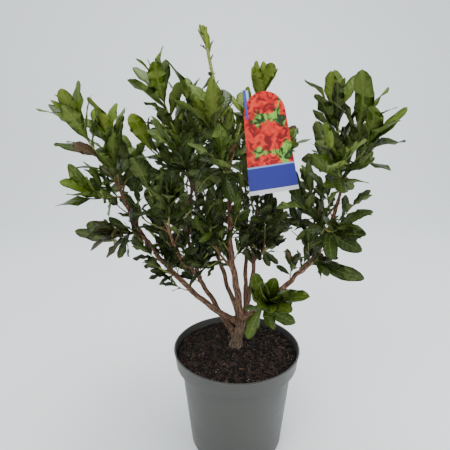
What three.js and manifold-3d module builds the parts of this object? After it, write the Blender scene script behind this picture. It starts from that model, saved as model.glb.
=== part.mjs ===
// Azalea shrub in a round nursery pot, with a label strapped to one shoot.
// Millimetres, +Z up. The origin is the middle of the pot's flat underside, and -Y faces the viewer.
import * as THREE from 'three';
import { mergeVertices } from 'three/addons/utils/BufferGeometryUtils.js';
import Module from 'manifold-3d';

const wasm = await Module();
wasm.setup();

// Clearance between neighbouring pieces.
const GAP = 0.3;

// Pot: a thin moulded shell with a deep rim band and drain holes in its floor.
const POT = {
  height: 179,
  footRadius: 80,
  neckRadius: 95,
  neckHeight: 150,
  neckStep: 1.5,
  bandFoot: 154,
  bandRadius: 103.5,
  rimRadius: 107.5,
  lip: 3,
  wall: 1.8,
  floor: 3,
  sides: 24,
};
const DRAIN = { count: 4, radius: 7, ring: 58, sides: 6, turn: 30 };

// Compost: fills the pot to a little under its rim, flat where the trunk comes out of it.
const SOIL = { top: 167, crumble: 2.2, rings: [1, 0.78, 0.5, 0.25], trunkClear: 24, seed: 5 };

// Trunk: a short stump with a root flare, from the flat cut at soil level to the fork.
const TRUNK = {
  route: [[0, 16, SOIL.top + GAP], [0, 16, 188], [9, 12, 204], [9, 12, 226]],
  footRadius: 9.5,
  topRadius: 7.4,
  flare: 5.5,
  flareShare: 0.16,
  flareLobes: 3,
  sides: 12,
  steps: 8,
};

// Boughs: each is one tapering limb on a cubic curve, [start, handle, handle, tip], with its end radii.
const BOUGHS = {
  middle_bough: {
    route: [[9, 12, 222], [-8, -5, 299], [-14, -20, 376], [-13, -35, 454]],
    radii: [6.4, 2.8],
  },
  left_bough: {
    route: [[8, 13, 210], [-62, 5, 252], [-149, -18, 355], [-168, -28, 431]],
    radii: [5.4, 2.4],
  },
  right_bough: {
    route: [[10, 10, 222], [76, -30, 300], [127, -33, 334], [147, -38, 440]],
    radii: [5.2, 2.4],
  },
  left_inner_bough: {
    route: [[0, 17, 178], [-50, 35, 268], [-101, 38, 323], [-77, 30, 427]],
    radii: [4.8, 2.4],
  },
  right_inner_bough: {
    route: [[10, 14, 218], [32, 30, 276], [31, 36, 358], [34, 40, 416]],
    radii: [4.4, 2.3],
  },
  back_left_bough: {
    route: [[6, 14, 214], [-20, 70, 290], [-55, 120, 340], [-75, 140, 410]],
    radii: [4.4, 2.3],
  },
  back_bough: {
    route: [[11, 15, 214], [26, 70, 285], [20, 120, 350], [20, 150, 420]],
    radii: [4.2, 2.3],
  },
  front_left_bough: {
    route: [[-63, 31, 290], [-80, 8, 318], [-92, -30, 345], [-98, -56, 388]],
    radii: [3.2, 2.2],
  },
};
const BOUGH = { sides: 8, steps: 8 };

// Masses of foliage: each grows from one stem, which meets its bough at the share given (1 is its tip).
// The first shoot is that stem, and the others fork from it at their own share. A tip is a place in mm.
const MASSES = {
  left_crown: {
    bough: 'left_bough', share: 1, leaf: 70, seed: 14,
    shoots: {
      outer: { tip: [-226, -40, 548] },
      upper: { fork: 0.12, tip: [-190, -15, 528] },
      back: { fork: 0.15, tip: [-196, 70, 486] },
      low: { fork: 0.08, tip: [-196, -64, 450] },
      inner: { fork: 0.1, tip: [-170, 16, 482] },
    },
  },
  left_low: {
    bough: 'left_bough', share: 0.8, leaf: 54, seed: 113,
    shoots: { forward: { tip: [-182, -58, 404] }, brown: { fork: 0.3, tip: [-196, -16, 372] } },
  },
  left_spur: {
    bough: 'left_bough', share: 0.5, leaf: 46, seed: 13,
    shoots: { spur: { tip: [-125, -34, 336], whorl: 4 }, inner: { fork: 0.3, tip: [-118, -2, 366] } },
  },
  middle_left_crown: {
    bough: 'left_inner_bough', share: 1, leaf: 72, seed: 22,
    shoots: {
      top: { tip: [-118, 12, 600] },
      crown: { fork: 0.3, tip: [-76, 35, 576] },
      left: { fork: 0.2, tip: [-134, -12, 515] },
      front: { fork: 0.12, tip: [-86, -46, 515] },
      back: { fork: 0.3, tip: [-84, 95, 538] },
    },
  },
  front_left_mass: {
    bough: 'front_left_bough', share: 1, leaf: 70, seed: 25,
    shoots: {
      outer: { tip: [-128, -64, 462] },
      front: { fork: 0.1, tip: [-92, -108, 446] },
      inner: { fork: 0.12, tip: [-70, -66, 428] },
      side: { fork: 0.1, tip: [-142, -36, 412] },
    },
  },
  left_inner_low: {
    bough: 'left_inner_bough', share: 0.5, leaf: 48, seed: 23,
    shoots: {
      left: { tip: [-106, 50, 322] },
      back: { fork: 0.3, tip: [-58, 84, 354] },
      front: { fork: 0.1, tip: [-50, 8, 340] },
    },
  },
  leader_mass: {
    bough: 'middle_bough', share: 1, leaf: 64, seed: 132,
    shoots: {
      leader: { tip: [-48, -20, 668], leafy: 0.52, budLeaf: 13, girth: 2 },
      left: { fork: 0.16, tip: [-40, -58, 546] },
      right: { fork: 0.12, tip: [2, -24, 545] },
      front: { fork: 0.08, tip: [-24, -112, 498] },
      back: { fork: 0.2, tip: [-24, 52, 528] },
    },
  },
  central_low: {
    bough: 'middle_bough', share: 0.42, leaf: 48, seed: 32,
    shoots: {
      left: { tip: [-54, -6, 380] },
      upper: { fork: 0.5, tip: [-42, 12, 420] },
      low: { fork: 0.3, tip: [-50, -28, 334] },
      front: { fork: 0.4, tip: [-46, -68, 420] },
    },
  },
  right_inner_crown: {
    bough: 'right_inner_bough', share: 1, leaf: 58, seed: 41,
    shoots: {
      top: { tip: [34, 4, 600] },
      left: { fork: 0.4, tip: [16, 52, 562] },
      right: { fork: 0.25, tip: [66, 52, 508] },
      back: { fork: 0.25, tip: [50, 112, 486] },
    },
  },
  right_inner_low: {
    bough: 'right_inner_bough', share: 0.52, leaf: 52, seed: 42,
    shoots: {
      right: { tip: [60, 10, 366] },
      front: { fork: 0.4, tip: [40, -30, 416] },
      back: { fork: 0.3, tip: [60, 62, 340] },
      left: { fork: 0.15, tip: [18, -6, 378] },
    },
  },
  low_whorl: {
    bough: 'right_bough', share: 0.14, leaf: 70, seed: 43,
    shoots: { whorl: { tip: [43, -78, 294], whorl: 10, leafy: 0.6 } },
  },
  right_crown: {
    bough: 'right_bough', share: 1, leaf: 72, seed: 51,
    shoots: {
      outer: { tip: [166, -50, 552], girth: 1.5 },
      inner: { fork: 0.1, tip: [139, -24, 569] },
      side: { fork: 0.3, tip: [170, -80, 524] },
      back: { fork: 0.18, tip: [154, 60, 500] },
      front: { fork: 0.1, tip: [124, -104, 496] },
    },
  },
  right_mid: {
    bough: 'right_bough', share: 0.82, leaf: 64, seed: 52,
    shoots: {
      inner: { tip: [98, -56, 434] },
      upper: { fork: 0.25, tip: [112, 14, 456] },
      low: { fork: 0.3, tip: [100, 12, 392] },
      front: { fork: 0.25, tip: [126, -98, 410] },
    },
  },
  right_low: {
    bough: 'right_bough', share: 0.68, leaf: 60, seed: 53,
    shoots: { spur: { tip: [123, -48, 347], whorl: 5 } },
  },
  back_left_mass: {
    bough: 'back_left_bough', share: 1, leaf: 68, seed: 61,
    shoots: {
      top: { tip: [-62, 200, 558] },
      left: { fork: 0.15, tip: [-132, 186, 520] },
      low: { fork: 0.1, tip: [-154, 128, 462] },
      back: { fork: 0.12, tip: [-50, 236, 470] },
    },
  },
  back_left_low: {
    bough: 'back_left_bough', share: 0.55, leaf: 56, seed: 62,
    shoots: { left: { tip: [-92, 122, 352] }, back: { fork: 0.3, tip: [-40, 172, 366] } },
  },
  back_mass: {
    bough: 'back_bough', share: 1, leaf: 68, seed: 166,
    shoots: {
      top: { tip: [30, 186, 562] },
      right: { fork: 0.2, tip: [84, 172, 500] },
      back: { fork: 0.1, tip: [34, 240, 466] },
      inner: { fork: 0.25, tip: [-6, 130, 530] },
    },
  },
  back_low: {
    bough: 'back_bough', share: 0.55, leaf: 56, seed: 64,
    shoots: { right: { tip: [70, 128, 348] } },
  },
};

// How a shoot grows: its thickness, and its leaves spaced along it by the golden angle.
// A range is [least, most], or [lowest leaf, highest leaf] where it holds sizes.
const SHOOT = {
  steps: 5,
  sides: 3,
  stemRadius: 2.4,
  sideRadius: 1.9,
  tipRadius: 1.1,
  leave: 0.3,
  rise: 0.32,
  up: 0.9,
};
const LEAVES = {
  spacing: 13,
  leafy: 0.34,
  whorl: 5,
  whorlShare: 0.16,
  lowEnd: 0.94,
  shareJitter: 0.4,
  goldenAngle: 137.5,
  turnJitter: 30,
  lowLean: 46,
  whorlLean: 25,
  topLean: 8,
  leanJitter: 12,
  lowSizes: [0.62, 0.95],
  whorlSizes: [1.08, 0.62],
  lengths: [0.85, 1.12],
  widths: [0.85, 1.15],
  curls: [0.02, 0.24],
  width: 0.35,
  widestAt: 0.55,
  keelAt: 0.4,
  thickness: 1 / 40,
  leastThickness: 0.8,
  skyward: 0.3,
};

// The leader's small broad leaves start lower and stand round its buds, and those at its tip are larger.
// A leaf with no room is tried once more, closer to its shoot and smaller.
const BUDS = { leafy: 0.2, whorl: 6, lean: 34, tipSize: 2.1, width: 1.5 };
const CLOSER = { lean: 0.55, size: 0.8 };

// A leaf keeps this far from a limb, and stays this much nearer to its own stems than to another mass's.
const LIMB_CLEAR = 1.6;
const SPACE_CLEAR = 1.6;

// Label: a tapered card with a round head, hung by a strap loop on a shoot of the right inner crown.
const LABEL = {
  width: 72,
  headWidth: 58,
  headShare: 0.55,
  height: 140,
  thickness: 1,
  foot: [51, -47, 453],
  lean: 8.7,
  strap: { width: 8, thickness: 1.2, share: 0.8, left: 24, clear: 0.5 },
  edgeStrip: { width: 8, height: 38, up: 10, turn: 24 },
  room: 7,
  frontRoom: 90,
};

// Colours seen on the real materials.
const FINISH = {
  pot: { color: 0x5d615e, roughness: 0.55, metalness: 0 },
  soil: { color: 0x2a1d15, roughness: 1, metalness: 0 },
  bark: { color: 0x7a5a42, roughness: 0.85, metalness: 0 },
  leaf: { color: 0x3f5a1c, roughness: 0.5, metalness: 0 },
  label: { color: 0x3b3fa0, roughness: 0.3, metalness: 0 },
};

const radians = (degrees) => THREE.MathUtils.degToRad(degrees);
const mix = THREE.MathUtils.lerp;

// The same seed always gives the same run of numbers between 0 and 1.
function seeded(seed) {
  let state = Math.imul(seed, 2654435761) >>> 0;
  return () => {
    state = (Math.imul(state, 1664525) + 1013904223) >>> 0;
    return state / 4294967296;
  };
}

// Turns a closed geometry into a solid that can be joined and cut, and back.
function solidOf(geometry) {
  const bare = geometry.clone();
  bare.deleteAttribute('normal');
  bare.deleteAttribute('uv');
  const merged = mergeVertices(bare);
  const mesh = new wasm.Mesh({
    numProp: 3,
    vertProperties: new Float32Array(merged.attributes.position.array),
    triVerts: new Uint32Array(merged.index.array),
  });
  return new wasm.Manifold(mesh);
}

function geometryOf(solid) {
  const mesh = solid.getMesh();
  const geometry = new THREE.BufferGeometry();
  geometry.setAttribute('position', new THREE.BufferAttribute(mesh.vertProperties, mesh.numProp));
  geometry.setIndex(new THREE.BufferAttribute(mesh.triVerts, 1));
  geometry.computeVertexNormals();
  return geometry;
}

// Keeps the largest closed body: loose scraps are dropped and sealed hollows are filled.
function wholePiece(solid) {
  return solid.decompose().reduce((best, piece) => (piece.volume() > best.volume() ? piece : best));
}

// Moves every corner of a geometry to the place that a function gives.
function reshape(geometry, place) {
  const corners = geometry.attributes.position;
  const corner = new THREE.Vector3();
  for (let i = 0; i < corners.count; i += 1) {
    corner.fromBufferAttribute(corners, i);
    const moved = place(corner);
    corners.setXYZ(i, moved.x, moved.y, moved.z);
  }
  return geometry;
}

const vector = (point) => new THREE.Vector3(...point);
const cubic = (route) => new THREE.CubicBezierCurve3(...route.map(vector));

// A frame across a curve: its direction, and two directions at right angles to it.
function frameAt(curve, share) {
  const along = curve.getTangent(share).normalize();
  const chord = curve.getPoint(1).sub(curve.getPoint(0));
  const flat = vector(Math.abs(chord.x) < Math.abs(chord.y) ? [1, 0, 0] : [0, 1, 0]);
  const across = new THREE.Vector3().crossVectors(along, flat).normalize();
  const over = new THREE.Vector3().crossVectors(across, along);
  return { along, across, over };
}

// A limb: a closed cylinder whose rings are carried along a curve.
function limbSolid(curve, radiusAt, sides, steps) {
  const rod = new THREE.CylinderGeometry(1, 1, 1, sides, steps);
  reshape(rod, (corner) => {
    const share = corner.y + 0.5;
    const { across, over } = frameAt(curve, share);
    const radius = radiusAt(share, Math.atan2(corner.z, corner.x));
    return curve.getPoint(share)
      .addScaledVector(across, corner.x * radius)
      .addScaledVector(over, corner.z * radius);
  });
  return solidOf(rod);
}

// Pot shell: the outline goes up outside, over the lip, down inside and back to the axis.
function potSolid() {
  const { height, wall, floor } = POT;
  const inside = POT.bandRadius + POT.lip - wall;
  const outline = [
    [0, 0],
    [POT.footRadius, 0],
    [POT.neckRadius, POT.neckHeight],
    [POT.bandRadius, POT.neckHeight + POT.neckStep],
    [POT.rimRadius, height],
    [inside, height],
    [POT.bandRadius - wall, POT.bandFoot],
    [POT.neckRadius - wall, POT.neckHeight - wall],
    [POT.footRadius - wall, floor],
    [0, floor],
  ].map(([radius, z]) => new THREE.Vector2(radius, z));
  const shell = solidOf(new THREE.LatheGeometry(outline, POT.sides).rotateX(Math.PI / 2));
  const holes = Array.from({ length: DRAIN.count }, (_, i) => {
    const turn = (i / DRAIN.count) * 2 * Math.PI;
    const plug = new THREE.CylinderGeometry(DRAIN.radius, DRAIN.radius, 4 * floor, DRAIN.sides);
    plug.rotateY(radians(DRAIN.turn)).rotateX(Math.PI / 2);
    plug.translate(DRAIN.ring * Math.cos(turn), DRAIN.ring * Math.sin(turn), 0);
    return solidOf(plug);
  });
  return holes.reduce((pot, hole) => pot.subtract(hole), shell);
}

// Compost: follows the pot's inside at the clearance, with a crumbly top.
function soilSolid() {
  const { wall, floor, lip } = POT;
  const inner = (radius) => radius - wall - GAP;
  const bandShare = (SOIL.top - SOIL.crumble - POT.bandFoot) / (POT.height - POT.bandFoot);
  const topRadius = inner(POT.bandRadius + lip * bandShare);
  const outline = [
    [0, floor + GAP],
    [inner(POT.footRadius), floor + GAP],
    [inner(POT.neckRadius), POT.neckHeight - wall + GAP],
    [inner(POT.bandRadius), POT.bandFoot + GAP],
    ...SOIL.rings.map((ring) => [topRadius * ring, SOIL.top]),
    [0, SOIL.top],
  ].map(([radius, z]) => new THREE.Vector2(radius, z));
  const heap = mergeVertices(new THREE.LatheGeometry(outline, POT.sides).rotateX(Math.PI / 2)
    .deleteAttribute('normal').deleteAttribute('uv'));
  const random = seeded(SOIL.seed);
  const trunkFoot = new THREE.Vector2(...TRUNK.route[0]);
  reshape(heap, (corner) => {
    const onTop = corner.z > SOIL.top - 0.01;
    const clear = Math.hypot(corner.x - trunkFoot.x, corner.y - trunkFoot.y) > SOIL.trunkClear;
    const drop = SOIL.crumble * random();
    return onTop && clear ? corner.setZ(corner.z - drop) : corner;
  });
  return solidOf(heap);
}

// Trunk radius: an even taper, with lobes that flare out towards the foot.
function trunkRadius(extra) {
  return (share, turn) => {
    const lobes = 0.75 + 0.25 * Math.cos(TRUNK.flareLobes * turn);
    const flare = TRUNK.flare * lobes * Math.exp(-share / TRUNK.flareShare);
    return mix(TRUNK.footRadius, TRUNK.topRadius, share) + flare + extra;
  };
}

const taper = (radii, extra = 0) => (share) => mix(radii[0], radii[1], share) + extra;

// Every limb, and the same limb grown by the clearance to cut its neighbours with.
const trunkCurve = cubic(TRUNK.route);
const trunkSolid = (extra) => limbSolid(trunkCurve, trunkRadius(extra), TRUNK.sides, TRUNK.steps);
const eachOf = (table, make) => (
  Object.fromEntries(Object.entries(table).map(([name, item]) => [name, make(item)]))
);
const boughCurves = eachOf(BOUGHS, ({ route }) => cubic(route));
const boughSolid = (name, extra) => (
  limbSolid(boughCurves[name], taper(BOUGHS[name].radii, extra), BOUGH.sides, BOUGH.steps)
);

// Each bough is cut clear of the trunk and of the boughs before it, so that they meet at the gap.
function limbSolids() {
  const solids = { trunk: trunkSolid(0) };
  let taken = trunkSolid(GAP);
  for (const name of Object.keys(BOUGHS)) {
    solids[name] = wholePiece(boughSolid(name, 0).subtract(taken));
    taken = taken.add(boughSolid(name, GAP));
  }
  return { solids, taken };
}

// A shoot leaves its parent's way and turns up towards its tip.
function shootCurve(start, heading, tip) {
  const reach = tip.distanceTo(start);
  const leave = start.clone().addScaledVector(heading, reach * SHOOT.leave);
  const rising = tip.clone().sub(start).normalize().setZ(SHOOT.up);
  rising.normalize();
  const arrive = tip.clone().addScaledVector(rising, -reach * SHOOT.rise);
  return new THREE.CubicBezierCurve3(start, leave, arrive, tip);
}

// The stem and side shoots of a mass, as curves with their end radii.
function shootsOf({ bough, share, shoots }) {
  const boughCurve = boughCurves[bough];
  const { along } = frameAt(boughCurve, share);
  const boughRadius = taper(BOUGHS[bough].radii)(share);
  const grown = [];
  for (const settings of Object.values(shoots)) {
    const { tip: place, fork, girth = 1 } = settings;
    const tip = vector(place);
    const stem = grown[0];
    let start = boughCurve.getPoint(share);
    let heading = along;
    let radius = Math.min(SHOOT.stemRadius * girth, boughRadius);
    if (stem) {
      start = stem.curve.getPoint(fork);
      heading = frameAt(stem.curve, fork).along.add(tip.clone().sub(start).normalize()).normalize();
      radius = SHOOT.sideRadius;
    } else if (share === 1) {
      start.addScaledVector(along, GAP);
    } else {
      heading = tip.clone().sub(start).normalize();
    }
    const radii = [radius, SHOOT.tipRadius * girth];
    grown.push({ curve: shootCurve(start, heading, tip), radii, settings });
  }
  return grown;
}

// Places along a curve, close enough together to measure distances by.
function placesAlong(curve, spacing) {
  const count = Math.ceil(curve.getPoint(0).distanceTo(curve.getPoint(1)) / spacing) + 1;
  const shares = Array.from({ length: count + 1 }, (_, i) => i / count);
  return shares.map((share) => ({ point: curve.getPoint(share), share }));
}

const massShoots = eachOf(MASSES, shootsOf);
const MEASURE_STEP = 6;
const massPlaces = eachOf(massShoots, (shoots) => (
  shoots.flatMap(({ curve }) => placesAlong(curve, MEASURE_STEP).map(({ point }) => point))
));
const limbPlaces = Object.entries({ trunk: trunkCurve, ...boughCurves }).flatMap(([name, curve]) => {
  const radiusAt = name === 'trunk' ? trunkRadius(0) : taper(BOUGHS[name].radii);
  return placesAlong(curve, MEASURE_STEP).map(({ point, share }) => ({ point, radius: radiusAt(share, 0) }));
});

// Label frame: along the card's width, up its height, and its lower middle.
const labelUp = new THREE.Vector3(-Math.sin(radians(LABEL.lean)), 0, Math.cos(radians(LABEL.lean)));
const labelRight = new THREE.Vector3(labelUp.z, 0, -labelUp.x);
const labelFoot = vector(LABEL.foot);
const holdingShoot = massShoots.right_inner_crown[0];
const holdPoint = holdingShoot.curve.getPoint(LABEL.strap.share);
const strapRoom = 2 * LABEL.strap.width;
const strapClear = 1.5 * LABEL.strap.width;

// True where a place is on the label's card, before it, or on its strap's way to the shoot.
function nearLabel(place) {
  const offset = place.clone().sub(labelFoot);
  const sideways = Math.abs(offset.dot(labelRight)) < LABEL.width / 2 + LABEL.room;
  const upright = offset.dot(labelUp) > -LABEL.room && offset.dot(labelUp) < LABEL.height + LABEL.room;
  const before = offset.y > -LABEL.frontRoom && offset.y < LABEL.room;
  const level = Math.abs(place.z - holdPoint.z) < strapRoom;
  const between = place.y > LABEL.foot[1] && place.y < holdPoint.y + strapRoom;
  const strapWay = level && between && Math.abs(place.x - holdPoint.x) < 2 * strapRoom;
  return (sideways && upright && before) || strapWay;
}

// One leaf: where its root is, which way it points and faces, and its size.
function leafFrame(shoot, share, turn, lean) {
  const { along, across, over } = frameAt(shoot.curve, share);
  const outward = across.clone().multiplyScalar(Math.cos(turn)).addScaledVector(over, Math.sin(turn));
  const ahead = along.clone().multiplyScalar(Math.cos(lean)).addScaledVector(outward, Math.sin(lean));
  const face = along.clone().add(vector([0, 0, LEAVES.skyward]));
  face.addScaledVector(ahead, -face.dot(ahead)).normalize();
  const side = new THREE.Vector3().crossVectors(face, ahead);
  return { root: shoot.curve.getPoint(share), ahead, face, side };
}

// A place on a leaf: up its length, across its half width, and above its face. It curls back to its tip.
function onLeaf(leaf, length, across, above) {
  const curled = -leaf.curl * leaf.length * length * length;
  return leaf.root.clone()
    .addScaledVector(leaf.ahead, length * leaf.length)
    .addScaledVector(leaf.side, across * leaf.width * 0.5)
    .addScaledVector(leaf.face, above + curled);
}

const nearest = (places, place) => (
  places.reduce((least, other) => Math.min(least, place.distanceTo(other)), Infinity)
);

// A leaf fits when it stays in its mass's own space, clear of limbs and of the label.
const TEST_PLACES = [
  [0.3, 0], [0.45, 0.8], [0.45, -0.8], [0.6, 0], [0.6, 1], [0.6, -1], [0.8, 0.6], [0.8, -0.6], [1, 0],
];
function fits(leaf, massName) {
  return leaf.root.distanceTo(holdPoint) > strapClear && TEST_PLACES.every(([length, across]) => {
    const place = onLeaf(leaf, length, across, 0);
    const own = nearest(massPlaces[massName], place);
    const others = Object.keys(massPlaces).filter((name) => name !== massName);
    const ownSpace = others.every((name) => nearest(massPlaces[name], place) > own + SPACE_CLEAR);
    const offLimbs = limbPlaces.every((limb) => place.distanceTo(limb.point) > limb.radius + LIMB_CLEAR);
    return ownSpace && offLimbs && !nearLabel(place) && place.z > SOIL.top + LIMB_CLEAR;
  });
}

// The leaves of one shoot, from its lowest to its tip. The highest ones are a whorl round its bud.
function leavesOf(shoot, mass, massName, random) {
  const { leafy = LEAVES.leafy, budLeaf } = shoot.settings;
  const start = budLeaf ? BUDS.leafy : leafy;
  const whorl = budLeaf ? BUDS.whorl : shoot.settings.whorl ?? LEAVES.whorl;
  const reach = shoot.curve.getPoint(0).distanceTo(shoot.curve.getPoint(1));
  const below = Math.round((reach * (1 - start)) / LEAVES.spacing);
  const firstTurn = random() * 360;
  const grown = [];
  for (let i = 0; i < below + whorl; i += 1) {
    const [jitterTurn, jitterLean, jitterLength, jitterCurl, jitterWidth] = Array.from({ length: 5 }, random);
    const rank = (i - below + 1) / whorl;
    let share = 1 - LEAVES.whorlShare * (1 - rank);
    let level = mix(LEAVES.whorlLean, LEAVES.topLean, rank);
    let size = mix(...LEAVES.whorlSizes, rank * rank);
    if (i < below) {
      share = mix(start, LEAVES.lowEnd, (i + LEAVES.shareJitter * jitterTurn) / below);
      level = mix(LEAVES.lowLean, LEAVES.whorlLean, share);
      size = mix(...LEAVES.lowSizes, share);
    }
    const bud = budLeaf && share > leafy;
    const sideBud = bud && i < below;
    const turn = radians(firstTurn + i * LEAVES.goldenAngle + LEAVES.turnJitter * (jitterTurn - 0.5));
    const lean = radians(level + LEAVES.leanJitter * (jitterLean - 0.5));
    const budSize = sideBud ? budLeaf : budLeaf * BUDS.tipSize;
    const length = (bud ? budSize : mass.leaf) * size * mix(...LEAVES.lengths, jitterLength);
    const girth = LEAVES.width * (sideBud ? BUDS.width : 1);
    const leaf = {
      ...leafFrame(shoot, share, turn, sideBud ? radians(BUDS.lean) : lean),
      length,
      width: length * girth * mix(...LEAVES.widths, jitterWidth),
      curl: mix(...LEAVES.curls, jitterCurl),
    };
    const closer = {
      ...leaf,
      ...leafFrame(shoot, share, turn, lean * CLOSER.lean),
      length: length * CLOSER.size,
      width: leaf.width * CLOSER.size,
    };
    const chosen = [leaf, closer].find((candidate) => fits(candidate, massName));
    if (chosen) grown.push(chosen);
  }
  return grown;
}

// A leaf's solid: six faces, flat above and keeled below along its midrib, from a three-sided spindle.
// Its root is on the shoot's middle line.
function leafSolid(leaf) {
  const thickness = Math.max(leaf.length * LEAVES.thickness, LEAVES.leastThickness);
  const blade = reshape(new THREE.SphereGeometry(1, 3, 2), (corner) => {
    if (Math.abs(corner.y) > 0.5) return onLeaf(leaf, corner.y > 0 ? 1 : 0, 0, 0);
    if (corner.x < 0) return onLeaf(leaf, LEAVES.keelAt, 0, -thickness);
    return onLeaf(leaf, LEAVES.widestAt, Math.sign(corner.z), 0);
  });
  return solidOf(blade);
}

// A mass: its shoots and leaves fused in one body, cut clear of every limb.
function massSolid(massName, limbsTaken) {
  const mass = MASSES[massName];
  const parts = massShoots[massName].flatMap((shoot, i) => {
    const random = seeded(mass.seed * 100 + i);
    const twig = limbSolid(shoot.curve, taper(shoot.radii), SHOOT.sides, SHOOT.steps);
    return [twig, ...leavesOf(shoot, mass, massName, random).map(leafSolid)];
  });
  return wholePiece(wasm.Manifold.union(parts).subtract(limbsTaken));
}

// Label card: straight tapered sides below a round head.
function cardShape() {
  const { width, headWidth, headShare, height } = LABEL;
  const shape = new THREE.Shape();
  const shoulder = height - headWidth * headShare;
  shape.moveTo(-width / 2, 0);
  shape.lineTo(width / 2, 0);
  shape.absellipse(0, shoulder, headWidth / 2, height - shoulder, 0, Math.PI, false);
  return shape;
}

// Where the strap goes round its shoot, and where the card is at that height.
const loopRadius = taper(holdingShoot.radii)(LABEL.strap.share) + GAP + LABEL.strap.clear;
const loopCentre = new THREE.Vector2(holdPoint.x, holdPoint.y - LABEL.strap.clear);
const labelHead = labelFoot.clone().addScaledVector(labelUp, (holdPoint.z - labelFoot.z) / labelUp.z);

// A block with a round end: from the card's back to the shoot, grown or shrunk by an edge width.
function strapBlock(edge) {
  const { left, width } = LABEL.strap;
  const cardBack = labelHead.y + LABEL.thickness / 2 - edge;
  const shape = new THREE.Shape();
  shape.moveTo(labelHead.x + left + 2 * edge, cardBack);
  shape.absarc(loopCentre.x, loopCentre.y, loopRadius + edge, 0, Math.PI, false);
  shape.lineTo(labelHead.x - left - 2 * edge, cardBack);
  const block = new THREE.ExtrudeGeometry(shape, { depth: width, bevelEnabled: false, curveSegments: 10 });
  return solidOf(block.translate(0, 0, holdPoint.z - width / 2));
}

// The label: its card, the strap's flat loop round the shoot, and the strap's folded end before the card.
function labelSolid() {
  const { thickness, strap, edgeStrip } = LABEL;
  const flat = { depth: thickness, bevelEnabled: false, curveSegments: 12 };
  const card = new THREE.ExtrudeGeometry(cardShape(), flat);
  card.rotateX(Math.PI / 2).translate(0, thickness / 2, 0);
  card.rotateY(-radians(LABEL.lean)).translate(...LABEL.foot);
  const loop = strapBlock(strap.thickness).subtract(strapBlock(0));
  const strip = new THREE.BoxGeometry(edgeStrip.width, strap.thickness, edgeStrip.height);
  strip.rotateZ(radians(edgeStrip.turn));
  strip.translate(labelHead.x - strap.left, labelHead.y - thickness / 2, holdPoint.z + edgeStrip.up);
  const grown = taper(holdingShoot.radii, 2 * GAP);
  const shootRoom = limbSolid(holdingShoot.curve, grown, SHOOT.sides, SHOOT.steps);
  return wholePiece(solidOf(card).add(loop).add(solidOf(strip)).subtract(shootRoom));
}

// The assembled plant.
function meshOf(name, solid, finish) {
  const mesh = new THREE.Mesh(geometryOf(solid), new THREE.MeshStandardMaterial(finish));
  mesh.name = name;
  return mesh;
}

const { solids: limbs, taken: limbsTaken } = limbSolids();
const shrub = new THREE.Group();
shrub.add(meshOf('pot', potSolid(), FINISH.pot));
shrub.add(meshOf('soil', soilSolid(), FINISH.soil));
for (const [name, solid] of Object.entries(limbs)) {
  shrub.add(meshOf(name, solid, FINISH.bark));
}
for (const name of Object.keys(MASSES)) {
  shrub.add(meshOf(name, massSolid(name, limbsTaken), FINISH.leaf));
}
shrub.add(meshOf('label', labelSolid(), FINISH.label));

export default shrub;
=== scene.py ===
# Potted azalea shrub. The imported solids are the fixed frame, and what shows is made round them here.
import math

import bpy
import numpy as np
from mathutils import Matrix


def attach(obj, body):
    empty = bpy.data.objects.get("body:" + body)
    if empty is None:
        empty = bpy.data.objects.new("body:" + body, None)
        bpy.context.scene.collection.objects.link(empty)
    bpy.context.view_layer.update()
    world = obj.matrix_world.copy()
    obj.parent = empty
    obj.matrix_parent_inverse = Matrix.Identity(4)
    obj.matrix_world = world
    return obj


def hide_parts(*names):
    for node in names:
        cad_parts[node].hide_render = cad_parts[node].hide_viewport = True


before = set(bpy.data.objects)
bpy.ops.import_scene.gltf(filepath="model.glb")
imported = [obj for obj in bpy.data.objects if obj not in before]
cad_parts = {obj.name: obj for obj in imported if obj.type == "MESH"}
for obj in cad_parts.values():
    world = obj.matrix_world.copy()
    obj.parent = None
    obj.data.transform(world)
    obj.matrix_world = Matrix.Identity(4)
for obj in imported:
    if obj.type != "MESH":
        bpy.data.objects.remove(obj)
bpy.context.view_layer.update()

# Camera: it stands before the plant at the height of its crown and looks a little down.
# The lens is a phone's main one, with its focal length given in pixels of a picture 450 pixels wide.
PICTURE_WIDTH = 450
FOCAL_PIXELS = 391
LOOKS_DOWN = math.radians(14.24)
CAMERA_PLACE = (-0.020, -0.605, 0.546)
camera_lens = bpy.data.cameras.new("camera")
camera_lens.sensor_width = 36
camera_lens.lens = camera_lens.sensor_width * FOCAL_PIXELS / PICTURE_WIDTH
camera = bpy.data.objects.new("camera", camera_lens)
camera.location = CAMERA_PLACE
camera.rotation_euler = (math.pi / 2 - LOOKS_DOWN, 0, 0)
bpy.context.scene.collection.objects.link(camera)
bpy.context.scene.camera = camera

# Studio: a pale matt sheet that is the floor and curves up behind, under a wide soft sky and three lamps.
# It isn't part of the plant.
SHEET = {"width": 9.0, "front": -3.0, "back": 1.5, "curve": 0.9, "height": 4.0, "steps": 24}
SHEET_PAINT = "#f9fcfe"
SKY = {"color": "#ecf2f3", "strength": 0.95}


def tone(code):
    """An sRGB hex code as linear red, green and blue, with full alpha."""
    value = np.array([int(code[i:i + 2], 16) for i in (1, 3, 5)]) / 255
    linear = np.where(value <= 0.04045, value / 12.92, ((value + 0.055) / 1.055) ** 2.4)
    return (*linear.tolist(), 1.0)


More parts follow.
